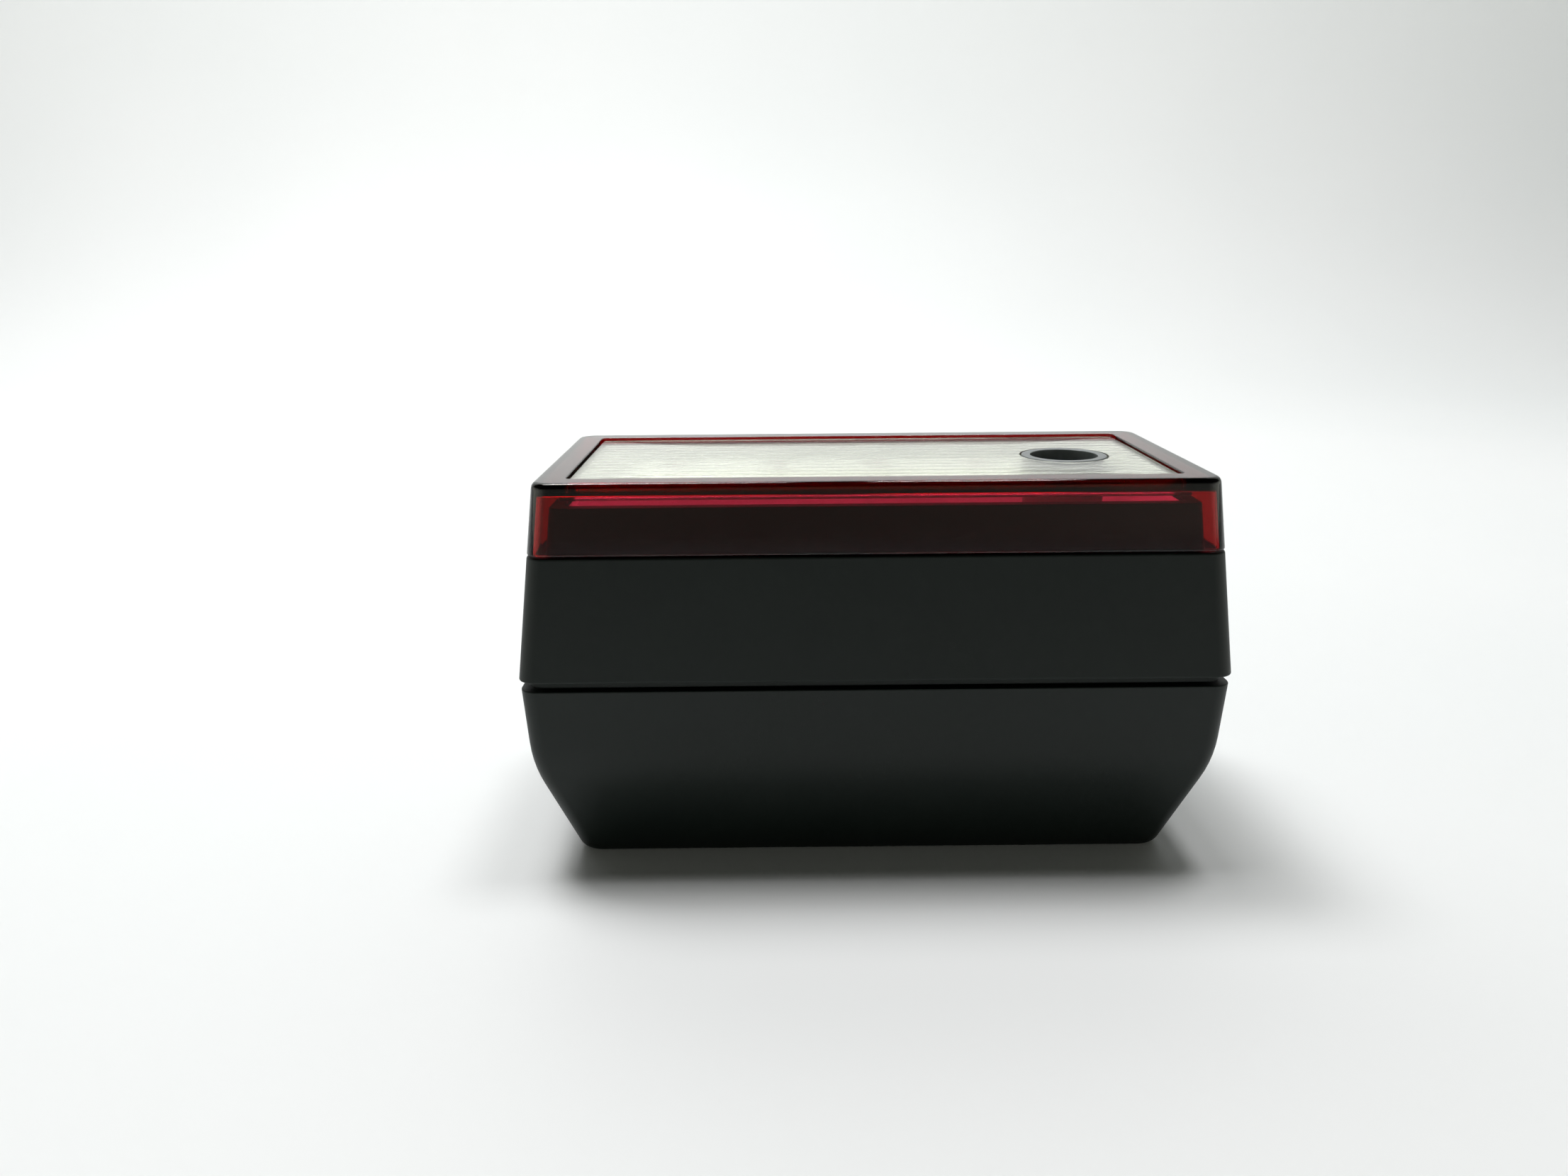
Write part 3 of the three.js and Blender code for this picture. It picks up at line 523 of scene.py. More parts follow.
BLACK = moulded_black()
RED = transparent_red()
CLEAR = clear_plastic()
GREY = satin_grey()
WHITE = satin_white()
MATT = matt_black()
STEEL = plated_steel()
GREEN = solder_mask()
EPOXY = pale_epoxy()


def piece(obj, material, body, slot, *nodes):
    """Gives a finished piece its material and its body, and hides the CAD nodes that it stands for. The
    slot argument is not used.
    """
    obj.data.materials.clear()
    obj.data.materials.append(material)
    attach(obj, body)
    if nodes:
        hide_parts(*nodes)
    return obj


# ---- Outlines of the casing ----

def upper(z, inset, corner):
    return (WIDEST.x - SIDE_DRAFT * (z - BODY_BOTTOM) - inset,
            WIDEST.y - FRONT_DRAFT * (z - BODY_BOTTOM) - inset, z, corner)


def lower_half(z, rim, undercut):
    knee = rim - BASE_DRAFT * (BASE_TOP - KNEE_HEIGHT)
    slope = undercut / KNEE_HEIGHT
    rise = z - KNEE_HEIGHT
    sharp = knee + (slope if rise < 0 else BASE_DRAFT) * rise
    within = max(KNEE_BLEND - abs(rise), 0)
    return sharp - (slope - BASE_DRAFT) * within ** 2 / (4 * KNEE_BLEND)


def lower(z, inset, corner):
    return (lower_half(z, BASE_RIM.x, SIDE_UNDERCUT) - inset,
            lower_half(z, BASE_RIM.y, FRONT_UNDERCUT) - inset, z, corner)


UPSTAND_TOP = high("body_shell").z
UPSTAND_FOOT = upper(BODY_TOP, UPSTAND_INSET, CORNER_RADIUS / 2)
UPSTAND_CROWN = upper(UPSTAND_TOP, UPSTAND_INSET, CORNER_RADIUS / 2)
CHAMBER = (UPSTAND_CROWN[0] - UPSTAND_WALL, UPSTAND_CROWN[1] - UPSTAND_WALL)
SCREW_PLACES = [middle(f"case_screw_{i}") for i in range(1, 5)]
SCREW_RADIUS = (high("case_screw_1").x - low("case_screw_1").x) / 2


# ---- Casing ----

def hook_places():
    reach = high("battery_door").y - HOOK_INSET
    return (-reach, reach)


def base_shell():
    door = high("battery_door")
    bay = (door.x + GAP, door.y + GAP)
    bay_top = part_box("aa_cell_1")[1].z + 0.6 * MM
    inner = max(CORNER_RADIUS - WALL, 0.5 * MM)
    knee = [KNEE_HEIGHT + KNEE_BLEND * share for share in (-1, -0.6, -0.2, 0.2, 0.6, 1)]
    profile = [
        ((*bay, bay_top, 0.4 * MM), 0),
        ((*bay, 0, 0.4 * MM), 0.15 * MM),
        (lower(0, 0, CORNER_RADIUS), 1.2 * MM),
    ]
    profile += [(lower(z, 0, CORNER_RADIUS), 0) for z in knee]
    profile += [
        (lower(BASE_TOP, 0, CORNER_RADIUS), 0.25 * MM),
        (lower(BASE_TOP, WALL, inner), 0.15 * MM),
    ]
    profile += [(lower(z, WALL, inner), 0) for z in reversed(knee)]
    bay_outer = (bay[0] + BAY_WALL, bay[1] + BAY_WALL)
    profile += [
        (lower(FLOOR, WALL, inner), 0),
        ((*bay_outer, FLOOR, 0.6 * MM), 0),
        ((*bay_outer, bay_top + BAY_WALL, 0.6 * MM), 0.3 * MM),
        ((bay_outer[0] / 2, bay_outer[1] / 2, bay_top + BAY_WALL, 0.3 * MM), 0),
    ]
    shell = lofted("base_shell_fine", profile)
    for place in SCREW_PLACES:
        joined(shell, rod(BOSS_RADIUS, FLOOR / 2, BOSS_TOP, place.x, place.y))
        cut(shell, rod(SCREW_RADIUS + GAP, -1 * MM, 4 * MM, place.x, place.y))
        cut(shell, rod(CASE_PILOT, 0, BOSS_TOP + 1 * MM, place.x, place.y, sides=32))
    for contact in ("positive_contact", "negative_contact"):
        lo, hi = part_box(contact)
        centre = (lo.y + hi.y) / 2
        cut(shell, boxed("slot", (lo.x - GAP, centre - 1.5 * MM, bay_top - 1 * MM),
                         (hi.x + GAP, centre + 1.5 * MM, bay_top + BAY_WALL + 1 * MM)))
    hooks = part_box("battery_door")
    for centre in hook_places():
        cut(shell, boxed("hook_slot", (hooks[0].x - GAP, centre - HOOK_WIDTH / 2 - GAP, FLOOR),
                         (GAP - bay[0], centre + HOOK_WIDTH / 2 + GAP, hooks[1].z + GAP)))
    piece(weighted(shell), BLACK, "root", "black_casing", "base_shell")


def body_shell():
    inner = max(CORNER_RADIUS - WALL, 0.5 * MM)
    tongue = lower(low("body_shell").z, WALL + GAP, inner)
    rim = lower(BASE_TOP, SHADOW_GAP_DEPTH, CORNER_RADIUS)
    seat = BASE_TOP + GAP
    tongue_in = (tongue[0] - TONGUE_WALL, tongue[1] - TONGUE_WALL)
    deck = BODY_BOTTOM + DECK_HEIGHT
    shelf = BODY_TOP - LEDGE
    profile = [
        ((20 * MM, 8 * MM, deck, inner), 0),
        (upper(deck, WALL, inner), 0),
        (upper(shelf, WALL, inner), 0),
        ((*CHAMBER, shelf, inner), 0.2 * MM),
        ((*CHAMBER, UPSTAND_TOP, inner), 0.2 * MM),
        (UPSTAND_CROWN, 0.25 * MM),
        (UPSTAND_FOOT, 0.3 * MM),
        (upper(BODY_TOP, 0, CORNER_RADIUS), 0.35 * MM),
        (upper(BODY_BOTTOM, 0, CORNER_RADIUS), 0.3 * MM),
        ((rim[0], rim[1], BODY_BOTTOM, CORNER_RADIUS), 0.15 * MM),
        ((rim[0], rim[1], seat, CORNER_RADIUS), 0.1 * MM),
        ((tongue[0], tongue[1], seat, inner), 0.1 * MM),
        ((tongue[0], tongue[1], tongue[2], inner), 0.3 * MM),
        ((*tongue_in, tongue[2], inner), 0.3 * MM),
        ((*tongue_in, deck - DECK_THICKNESS, inner), 0),
        ((20 * MM, 8 * MM, deck - DECK_THICKNESS, inner), 0),
    ]
    shell = lofted("body_shell_fine", profile)
    for place in SCREW_PLACES:
        joined(shell, rod(BOSS_RADIUS, BOSS_TOP + GAP, deck - DECK_THICKNESS / 2, place.x, place.y))
        cut(shell, rod(CASE_PILOT, BOSS_TOP - 1 * MM, CASE_PILOT_TOP, place.x, place.y, sides=32))
    for name in ("board_screw_1", "board_screw_2"):
        x = middle(name).x
        joined(shell, rod(BOARD_STANDOFF_RADIUS, deck - DECK_THICKNESS / 2, deck + 3 * MM, x, 0))
        cut(shell, rod(BOARD_PILOT, low(name).z - GAP, deck + 4 * MM, x, 0, sides=32))
    cut(shell, boxed("window", (-7 * MM, -7 * MM, deck - 3 * MM), (23 * MM, 7 * MM, deck + 1 * MM)))
    piece(weighted(shell), BLACK, "root", "black_casing", "body_shell")


def filter_hood():
    inner = max(CORNER_RADIUS - WALL, 0.5 * MM) + GAP
    roof = TOP - HOOD_ROOF
    window = (LENS_BOX[1].x - LENS_LAP + GAP, LENS_BOX[1].y - LENS_LAP + GAP)
    profile = [
        (upper(HOOD_FOOT, 0, CORNER_RADIUS), 0.2 * MM),
        (upper(TOP, 0, CORNER_RADIUS), 1.0 * MM),
        ((*window, TOP, 0.8 * MM), 0.2 * MM),
        ((*window, roof, 0.8 * MM), 0.12 * MM),
        (upper(roof, HOOD_WALL, inner), 0.3 * MM),
        (upper(HOOD_FOOT, HOOD_WALL, inner), 0.15 * MM),
    ]
    hood = lofted("filter_hood_fine", profile, closed=True, steps=6)
    piece(weighted(hood), RED, "root", "red_hood", "filter_hood")


def ribbed_lens():
    lo, hi = LENS_BOX
    half = (hi.x - LENS_LAP, hi.y - LENS_LAP)
    flange_top = TOP - HOOD_ROOF - GAP
    plate = lofted("ribbed_lens_fine", [
        ((hi.x, hi.y, lo.z, 0.8 * MM), 0.1 * MM),
        ((hi.x, hi.y, flange_top, 0.8 * MM), 0.1 * MM),
        ((*half, flange_top, 0.8 * MM), 0.05 * MM),
        ((*half, hi.z, 0.8 * MM), 0.15 * MM),
        ((half[0] / 2, half[1] / 2, hi.z, 0.8 * MM), 0),
    ], steps=3)
    flute_half = FLUTE_PITCH / 2
    radius = (flute_half ** 2 + FLUTE_DEPTH ** 2) / (2 * FLUTE_DEPTH)
    count = int(2 * (half[1] - FLUTE_MARGIN) // FLUTE_PITCH)
    swing = math.asin(flute_half / radius)
    steps = 10
    outline = []
    for i in range(count):
        centre = (i - (count - 1) / 2) * FLUTE_PITCH
        for k in range(steps + (i == count - 1)):
            angle = -swing + 2 * swing * k / steps
            outline.append((centre + radius * math.sin(angle),
                            lo.z - radius + FLUTE_DEPTH + radius * math.cos(angle)))
    below = lo.z - 1 * MM
    outline = [(outline[0][0], below)] + outline + [(outline[-1][0], below)]
    reach = half[0] - FLUTE_MARGIN
    cutter = skinned("flutes", [[(x, y, z) for y, z in outline] for x in (-reach, reach)])
    cut(plate, cutter)
    cut(plate, rod(LENS_BORE, lo.z - 1 * MM, hi.z + 1 * MM, BUTTON_AXIS.x, BUTTON_AXIS.y,
                   sides=ROUND_SIDES))
    seat = high("button_bezel").x - BUTTON_AXIS.x + GAP
    cut(plate, rod(seat, hi.z - BEZEL_SEAT, hi.z + 1 * MM, BUTTON_AXIS.x, BUTTON_AXIS.y,
                   sides=ROUND_SIDES))
    plate.visible_shadow = False  # the clear plate lets the lights through to the reflector
    piece(plate, CLEAR, "root", "clear_lens", "ribbed_lens")


# ---- Button ----

def button_bezel():
    lo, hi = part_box("button_bezel")
    outer = (hi.x - lo.x) / 2
    bore = WELL_BORE
    neck = bore + BEZEL_NECK
    flange = LENS_BOX[1].z - BEZEL_SEAT + GAP
    ring = turned("button_bezel_fine", [
        ((bore, lo.z, 0), 0.1 * MM), ((neck, lo.z, 0), 0.1 * MM), ((neck, flange, 0), 0.03 * MM),
        ((outer, flange, 0), 0.08 * MM), ((outer, hi.z, 0), 0.15 * MM), ((bore, hi.z, 0), 0.15 * MM),
    ], centre=(BUTTON_AXIS.x, BUTTON_AXIS.y, 0), closed=True)
    piece(weighted(ring), GREY, "root", "grey_bezel", "button_bezel")


def button_well():
    lo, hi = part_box("button_well")
    outer = (hi.x - lo.x) / 2
    bore = WELL_BORE
    sleeve = turned("button_well_fine", [
        ((bore, lo.z, 0), 0.15 * MM), ((outer, lo.z, 0), 0.15 * MM), ((outer, hi.z, 0), 0.2 * MM),
        ((bore, hi.z, 0), 0.2 * MM),
    ], centre=(BUTTON_AXIS.x, BUTTON_AXIS.y, 0), closed=True)
    piece(sleeve, sleeve_with_painted_light(), "root", "black_casing", "button_well")


def push_button():
    lo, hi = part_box("push_button")
    radius = (hi.x - lo.x) / 2
    under = hi.z - BUTTON_CAP
    button = turned("push_button_fine", [
        ((0, lo.z, 0), 0), ((BUTTON_STEM, lo.z, 0), 0.3 * MM), ((BUTTON_STEM, under, 0), 0.2 * MM),
        ((radius, under, 0), 0.2 * MM), ((radius, hi.z, 0), 0.5 * MM),
        ((radius - 0.9 * MM, hi.z, 0), 0.3 * MM), ((radius / 2, hi.z - 0.4 * MM, 0), 0.8 * MM),
        ((0, hi.z - 0.5 * MM, 0), 0),
    ], centre=(BUTTON_AXIS.x, BUTTON_AXIS.y, 0))
    piece(button, MATT, "button", "black_casing", "push_button")


def helix(foot, head, length, turns, steps_per_turn=32):
    count = int(turns * steps_per_turn)
    points = []
    for i in range(count + 1):
        t = i / count
        angle = 2 * math.pi * turns * t
        radius = foot + (head - foot) * t
        points.append(Vector((radius * math.cos(angle), radius * math.sin(angle), length * t)))
    return points


def button_spring():
    lo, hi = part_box("button_spring")
    wire = SPRING_WIRE
    radius = (hi.x - lo.x) / 2 - wire
    points = [p + Vector((BUTTON_AXIS.x, BUTTON_AXIS.y, lo.z + wire))
              for p in helix(radius, radius, hi.z - lo.z - 2 * wire, 5)]
    spring = piece(tube("button_spring_fine", points, wire), STEEL, "root", "steel", "button_spring")
    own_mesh(spring)


def switch_body():
    lo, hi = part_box("switch_body")
    body = boxed("switch_body_fine", lo, hi, bevel=0.25 * MM)
    cut(body, rod(1.9 * MM, lo.z - 1 * MM, hi.z + 1 * MM, BUTTON_AXIS.x, BUTTON_AXIS.y))
    piece(body, matt_black("switch_plastic"), "root", "switch_plastic", "switch_body")


# ---- Light board and reflector ----

def light_board():
    lo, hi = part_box("light_board")
    plate = lofted("light_board_fine", [
        ((hi.x, hi.y, lo.z, 2 * MM), 0.08 * MM), ((hi.x, hi.y, hi.z, 2 * MM), 0.08 * MM),
        ((hi.x / 2, hi.y / 2, hi.z, 2 * MM), 0),
    ], steps=2)
    for name in ("board_screw_1", "board_screw_2"):
        cut(plate, rod(BOARD_PILOT, lo.z - 1 * MM, hi.z + 1 * MM, middle(name).x, 0))
    piece(plate, GREEN, "root", "circuit_board", "light_board")


def diodes():
    for i in range(1, 9):
        name = f"led_{i}"
        lo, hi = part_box(name)
        centre = (lo + hi) / 2
        rim = (hi.y - lo.y) / 2
        radius = DIODE_RADIUS
        height = hi.z - lo.z
        dome = [((radius * math.cos(a), height - radius + radius * math.sin(a), 0), 0)
                for a in (math.radians(d) for d in range(0, 90, 10))]
        diode = turned(f"{name}_fine", [
            ((0, 0, 0), 0), ((rim, 0, 0), 0.1 * MM), ((rim, 1 * MM, 0), 0.15 * MM),
            ((radius, 1 * MM, 0), 0.1 * MM), *dome, ((0, height, 0), 0),
        ], centre=(centre.x, centre.y, lo.z), sides=48)
        piece(diode, EPOXY, "root", "clear_diode", name)


def reflector_tray():
    lo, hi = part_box("reflector_tray")
    flare = REFLECTOR_FLARE
    wall = REFLECTOR_WALL
    floor = low("led_1").z + 1.4 * MM
    corner = CORNER_RADIUS / 2
    tray = lofted("reflector_tray_fine", [
        ((hi.x - flare, hi.y - flare, floor, corner), 0.5 * MM),
        ((hi.x, hi.y, hi.z, corner), 0.12 * MM),
        ((hi.x - wall, hi.y - wall, hi.z, corner), 0.12 * MM),
        ((hi.x - flare - wall, hi.y - flare - wall, floor + wall, corner), 0.8 * MM),
        ((15 * MM, 5 * MM, floor + wall, corner), 0),
    ])
    for i in range(1, 9):
        centre = middle(f"led_{i}")
        cut(tray, rod(1.8 * MM, floor - 1 * MM, floor + 2 * MM, centre.x, centre.y))
    well = high("button_well").x - BUTTON_AXIS.x + GAP
    cut(tray, rod(well, floor - 1 * MM, hi.z, BUTTON_AXIS.x, BUTTON_AXIS.y, sides=ROUND_SIDES))
    for side_x in (-1, 1):
        for side_y in (-1, 1):
            joined(tray, rod(1.2 * MM, lo.z, floor + wall / 2, side_x * (hi.x - flare - 2.5 * MM),
                             side_y * (hi.y - flare - 1.8 * MM), sides=32))
    piece(weighted(tray), WHITE, "root", "white_reflector", "reflector_tray")


def resistors():
    bands = [(0, (0.5, 0.5, 0.5)), (2.2 * MM, (0.55, 0.38, 0.2)), (3.2 * MM, (0.3, 0.1, 0.02)),
             (3.9 * MM, (0.55, 0.38, 0.2)), (4.6 * MM, (0.02, 0.02, 0.02)), (5.3 * MM, (0.55, 0.38, 0.2)),
             (6.0 * MM, (0.25, 0.02, 0.02)), (6.7 * MM, (0.55, 0.38, 0.2)), (7.8 * MM, (0.5, 0.5, 0.5)),
             (10 * MM, (0.5, 0.5, 0.5))]
    for name in ("resistor_1", "resistor_2"):
        lo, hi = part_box(name)
        centre = (lo + hi) / 2
        half = 3 * MM
        tail = (hi.x - lo.x) / 2
        radius = (hi.y - lo.y) / 2
        body = turned(f"{name}_fine", [
            ((0, -tail, 0), 0), ((0.3 * MM, -tail, 0), 0), ((0.3 * MM, -half, 0), 0.1 * MM),
            ((radius, -half, 0), 0.5 * MM), ((radius, -half + 1.4 * MM, 0), 0.3 * MM),
            ((radius - 0.15 * MM, -half + 1.7 * MM, 0), 0.3 * MM),
            ((radius - 0.15 * MM, half - 1.7 * MM, 0), 0.3 * MM),
            ((radius, half - 1.4 * MM, 0), 0.3 * MM), ((radius, half, 0), 0.5 * MM),
            ((0.3 * MM, half, 0), 0.1 * MM), ((0.3 * MM, tail, 0), 0), ((0, tail, 0), 0),
        ], sides=32)
        body.data.transform(Matrix.Translation(centre) @ Matrix.Rotation(math.pi / 2, 4, "Y"))
        piece(body, banded(f"{name}_bands", "X", lo.x, bands, 0.4), "root", "resistor_coat", name)


# ---- Cells and contacts ----

def cells():
    sleeve = (0.03, 0.085, 0.16)
    band = (0.5, 0.34, 0.13)
    bare = (0.55, 0.55, 0.55)
    for name, towards in (("aa_cell_1", 1), ("aa_cell_2", -1)):
        lo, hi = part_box(name)
        centre = (lo + hi) / 2
        radius = (hi.z - lo.z) / 2
        half = (hi.x - lo.x) / 2
        nub = 1.2 * MM
        can = turned(f"{name}_fine", [
            ((0, -half + 0.3 * MM, 0), 0), ((4.5 * MM, -half + 0.3 * MM, 0), 0.1 * MM),
            ((4.8 * MM, -half, 0), 0.1 * MM),
            ((radius - 0.9 * MM, -half, 0), 0.3 * MM), ((radius, -half + 0.4 * MM, 0), 0.4 * MM),
            ((radius, half - nub - 0.1 * MM, 0), 0.5 * MM), ((radius - 1.0 * MM, half - nub, 0), 0.2 * MM),
            ((radius - 1.2 * MM, half - nub - 0.3 * MM, 0), 0.1 * MM),
            ((2.7 * MM, half - nub - 0.3 * MM, 0), 0.1 * MM),
            ((2.7 * MM, half, 0), 0.35 * MM), ((0, half, 0), 0),
        ])
        turn = Matrix.Rotation(towards * math.pi / 2, 4, "Y")
        can.data.transform(Matrix.Translation(centre) @ turn)
        bands = [(0, bare), (0.6 * MM, sleeve), (39 * MM, band), (48.7 * MM, bare), (50.5 * MM, bare)]
        if towards < 0:
            reach = bands[-1][0]
            bands = [(0, bare), (reach - 48.7 * MM, band), (reach - 39 * MM, sleeve),
                     (reach - 0.6 * MM, bare), (reach, bare)]
        piece(can, banded(f"{name}_sleeve", "X", lo.x, bands, 0.3, 0.5), "root", "cell_sleeve", name)


def contacts():
    for name in ("positive_contact", "negative_contact"):
        lo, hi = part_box(name)
        centre = (lo.y + hi.y) / 2
        plate_top = low("link_contact").z + (high("link_contact").z - low("link_contact").z)
        plate = boxed(f"{name}_fine", lo, (hi.x, hi.y, plate_top), bevel=0.1 * MM)
        joined(plate, boxed("tab", (lo.x, centre - 1.2 * MM, plate_top - 1 * MM),
                            (hi.x, centre + 1.2 * MM, hi.z), bevel=0.08 * MM))
        piece(plate, STEEL, "root", "steel", name)
    lo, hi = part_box("link_contact")
    link = boxed("link_contact_fine", lo, hi, bevel=0.1 * MM)
    notch = 1.4 * MM
    cut(link, boxed("notch", (lo.x - 1 * MM, -notch, lo.z - 1 * MM), (hi.x + 1 * MM, notch, lo.z + 3 * MM)))
    piece(link, STEEL, "root", "steel", "link_contact")


def cell_springs():
    wire = CELL_SPRING_WIRE
    for name, side in (("cell_spring_1", -1), ("cell_spring_2", 1)):
        lo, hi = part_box(name)
        foot_x = lo.x if side < 0 else hi.x
        cell = middle("aa_cell_1" if side < 0 else "aa_cell_2")
        turn = Matrix.Rotation(-side * math.pi / 2, 4, "Y")
        foot = Vector((foot_x - side * wire, cell.y, cell.z))
        points = [turn @ p + foot for p in helix(3.9 * MM, 2.4 * MM, hi.x - lo.x - 2 * wire, 3.5)]
        piece(tube(f"{name}_fine", points, wire), STEEL, "root", "steel", name)


def leads():
    for name, colour, slot in (("red_lead", (0.36, 0.012, 0.012), "red_insulation"),
                               ("black_lead", (0.012, 0.012, 0.012), "black_insulation")):
        lo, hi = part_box(name)
        side = -1 if name == "red_lead" else 1
        radius = LEAD_RADIUS
        low_x = hi.x - radius
        high_x = lo.x + radius
        low_y = side * max(abs(lo.y), abs(hi.y)) - side * radius
        high_y = side * min(abs(lo.y), abs(hi.y)) + side * radius
        points = []
        for i in range(41):
            t = i / 40
            swing = 0.5 - 0.5 * math.cos(math.pi * min(max((t - 0.15) / 0.7, 0), 1))
            points.append((low_x + (high_x - low_x) * swing, low_y + (high_y - low_y) * swing,
                           lo.z + (hi.z - lo.z) * t))
        piece(tube(f"{name}_fine", points, radius), sheath(f"{name}_sheath", colour), "root", slot, name)


# ---- Door and screws ----

def battery_door():
    lo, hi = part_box("battery_door")
    half_y = hi.y
    start = -hi.x
    door = boxed("battery_door_fine", (start, -half_y, 0), (hi.x, half_y, DOOR_THICKNESS),
                 bevel=0.15 * MM)
    hook_bottom = FLOOR + GAP
    for centre in hook_places():
        near, far = centre - HOOK_WIDTH / 2, centre + HOOK_WIDTH / 2
        joined(door, boxed("post", (start + 0.02 * MM, near, DOOR_THICKNESS / 2),
                           (start + HOOK_POST, far, hi.z - 0.01 * MM)))
        joined(door, boxed("hook", (lo.x, near, hook_bottom), (start + HOOK_POST, far, hi.z),
                           bevel=0.1 * MM))
    end = hi.x - 1.5 * MM
    cut(door, boxed("finger", (end - 3.2 * MM, -6 * MM, -1 * MM), (end, 6 * MM, 0.9 * MM), bevel=0.3 * MM))
    for i in range(5):
        x = end - 5.2 * MM - 1.6 * MM * i
        cut(door, boxed("groove", (x - 0.3 * MM, -8 * MM, -1 * MM), (x + 0.3 * MM, 8 * MM, 0.35 * MM)))
    piece(door, BLACK, "door", "black_casing", "battery_door")


def screws():
    for i in range(1, 5):
        cross_screw(f"case_screw_{i}", 2.5 * MM, 1.25 * MM, 1.8 * MM, upward=True)
    for i in (1, 2):
        cross_screw(f"board_screw_{i}", 2 * MM, 1 * MM, 1.3 * MM, upward=False)


def cross_screw(name, head_radius, radius, head, upward):
    """A pan-head screw with a cross recess and a rolled thread, its shank upward or downward."""
    lo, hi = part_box(name)
    centre = (lo + hi) / 2
    length = hi.z - lo.z
    profile = [((0, 0, 0), 0), ((head_radius, 0, 0), 0.45 * MM), ((head_radius, head, 0), 0.1 * MM),
               ((radius * 0.82, head, 0), 0)]
    pitch = 0.8 * MM
    z = head + 0.3 * MM
    while z + pitch < length - 0.9 * MM:
        profile.append(((radius * 0.82, z, 0), 0))
        profile.append(((radius, z + pitch / 2, 0), 0))
        z += pitch
    profile += [((radius * 0.82, z, 0), 0), ((radius * 0.4, length, 0), 0.1 * MM), ((0, length, 0), 0)]
    screw = turned(f"{name}_fine", profile, sides=40)
    reach = head_radius * 0.62
    width = 0.42 * MM
    for angle in (0, math.pi / 2):
        slot = boxed("slot", (-reach, -width, -1 * MM), (reach, width, head * 0.65), bevel=0.08 * MM)
        slot.data.transform(Matrix.Rotation(angle, 4, "Z"))
        cut(screw, slot)
    if not upward:
        screw.data.transform(Matrix.Rotation(math.pi, 4, "X"))
    screw.data.transform(Matrix.Translation((centre.x, centre.y, lo.z if upward else hi.z)))
    piece(screw, STEEL, "root", "steel", name)


base_shell()
body_shell()
filter_hood()
ribbed_lens()
button_bezel()
button_well()
push_button()
button_spring()
switch_body()
light_board()
diodes()
reflector_tray()
resistors()
cells()
contacts()
cell_springs()
leads()
battery_door()
screws()


# ---- Studio ----

def studio():
    """A pale sweep under two soft lights, with a third on its upright part."""
    sweep, tree, shader = new_material("pale_sweep", Specular_IOR_Level=0.3)
    colour = ramp(tree, noise(tree, 3, detail=2), [(0.3, (0.86, 0.88, 0.88)), (0.7, (0.9, 0.91, 0.91))])
    tree.links.new(colour, shader.inputs["Base Color"])
    tree.links.new(spread(tree, noise(tree, 40), 0.5, 0.6), shader.inputs["Roughness"])
    profile = [((-1.2, 0.0, 0), 0), ((0.75, 0.0, 0), 0.3), ((0.75, 1.4, 0), 0)]
    points = softened(profile, steps=16)
    bm = bmesh.new()
    rows = [[bm.verts.new((x, y, z - 0.0001)) for y, z, _ in points] for x in (-1.6, 1.6)]
    for i in range(len(points) - 1):
        bm.faces.new((rows[0][i], rows[1][i], rows[1][i + 1], rows[0][i + 1]))
    floor = new_object("pale_sweep", bm)
    floor.data.materials.append(sweep)
    area_light("overhead_right", (0.2, 0.16, 1.2), (0, 0, 0), 0.24, 3.7)
    area_light("overhead_left", (-0.2, 0.18, 1.2), (0, 0, 0), 0.42, 5.3)
    area_light("backdrop_light", (-0.35, 0.35, 1.15), (-0.2, 0.75, 0.35), 0.4, 6.2)
    room()


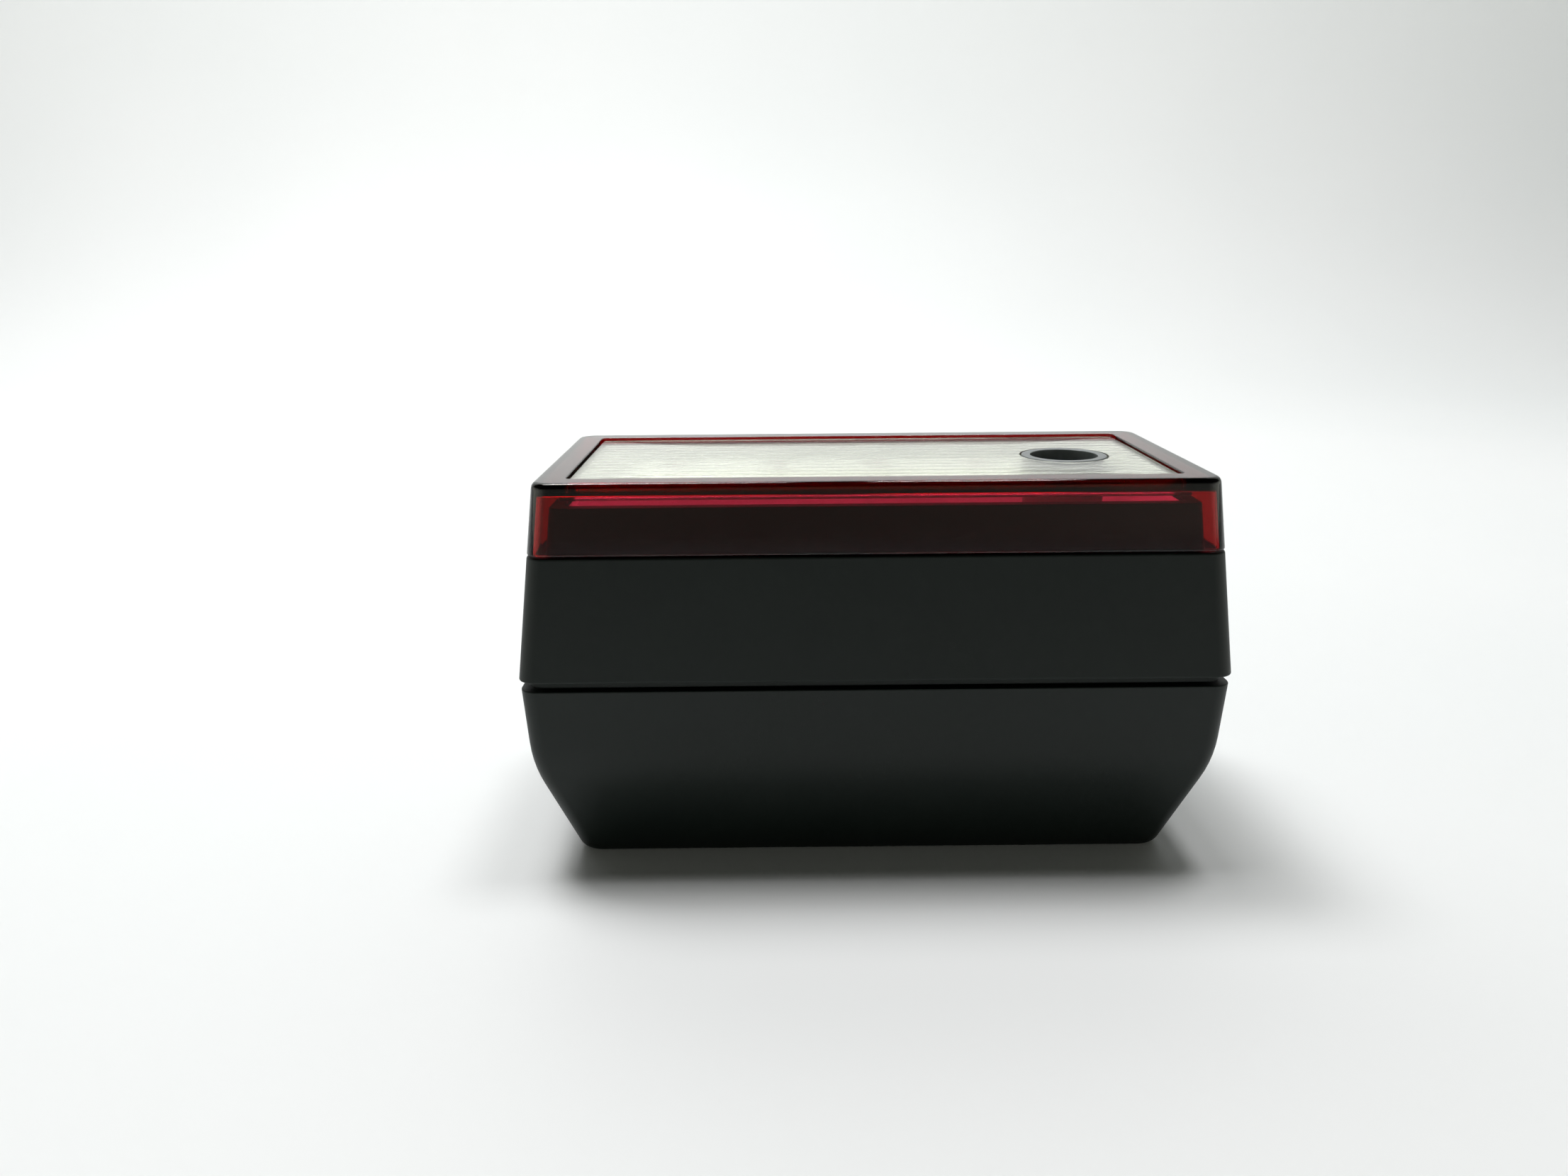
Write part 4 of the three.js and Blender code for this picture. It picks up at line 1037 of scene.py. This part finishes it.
def room():
    """Pale walls near the horizon, brightest at the sides, under a dark ceiling."""
    world = bpy.data.worlds.new("room")
    bpy.context.scene.world = world
    world.use_nodes = True
    tree = world.node_tree
    where = node(tree, "ShaderNodeTexCoord")
    split = node(tree, "ShaderNodeSeparateXYZ")
    tree.links.new(where.outputs["Generated"], split.inputs["Vector"])
    sideways = node(tree, "ShaderNodeMath", operation="MULTIPLY")
    tree.links.new(split.outputs["X"], sideways.inputs[0])
    tree.links.new(split.outputs["X"], sideways.inputs[1])
    walls = spread(tree, sideways.outputs["Value"], 0.2, 1.3)
    fade = node(tree, "ShaderNodeMapRange", interpolation_type="SMOOTHSTEP")
    for key, value in (("From Min", 0.1), ("From Max", 0.38), ("To Min", 1.0), ("To Max", 0.03)):
        fade.inputs[key].default_value = value
    tree.links.new(split.outputs["Z"], fade.inputs["Value"])
    strength = node(tree, "ShaderNodeMath", operation="MULTIPLY")
    tree.links.new(walls, strength.inputs[0])
    tree.links.new(fade.outputs["Result"], strength.inputs[1])
    background = tree.nodes["Background"]
    background.inputs["Color"].default_value = (0.98, 1.0, 0.88, 1)
    tree.links.new(strength.outputs["Value"], background.inputs["Strength"])


def area_light(name, place, target, size, power):
    data = bpy.data.lights.new(name, "AREA")
    data.shape = "DISK"
    data.size = size
    data.energy = power
    light = bpy.data.objects.new(name, data)
    light.location = place
    light.rotation_euler = (Vector(target) - Vector(place)).to_track_quat("-Z", "Y").to_euler()
    bpy.context.scene.collection.objects.link(light)


def camera():
    """Close to the front and a little to the left, looking down, rolled by half a degree."""
    data = bpy.data.cameras.new("camera")
    data.lens = 27.18
    data.sensor_width = 36
    data.clip_start = 0.01
    obj = bpy.data.objects.new("camera", data)
    pitch = 0.2759
    roll = -0.0082
    yaw = -0.0039
    aim = Euler((math.pi / 2 - pitch, 0, yaw)).to_matrix() @ Matrix.Rotation(roll, 3, "Z")
    obj.matrix_world = Matrix.Translation((-13.33 * MM, -179.38 * MM, TOP + 29.65 * MM)) @ aim.to_4x4()
    bpy.context.scene.collection.objects.link(obj)
    bpy.context.scene.camera = obj


studio()
camera()
bpy.context.scene.view_settings.view_transform = "Standard"
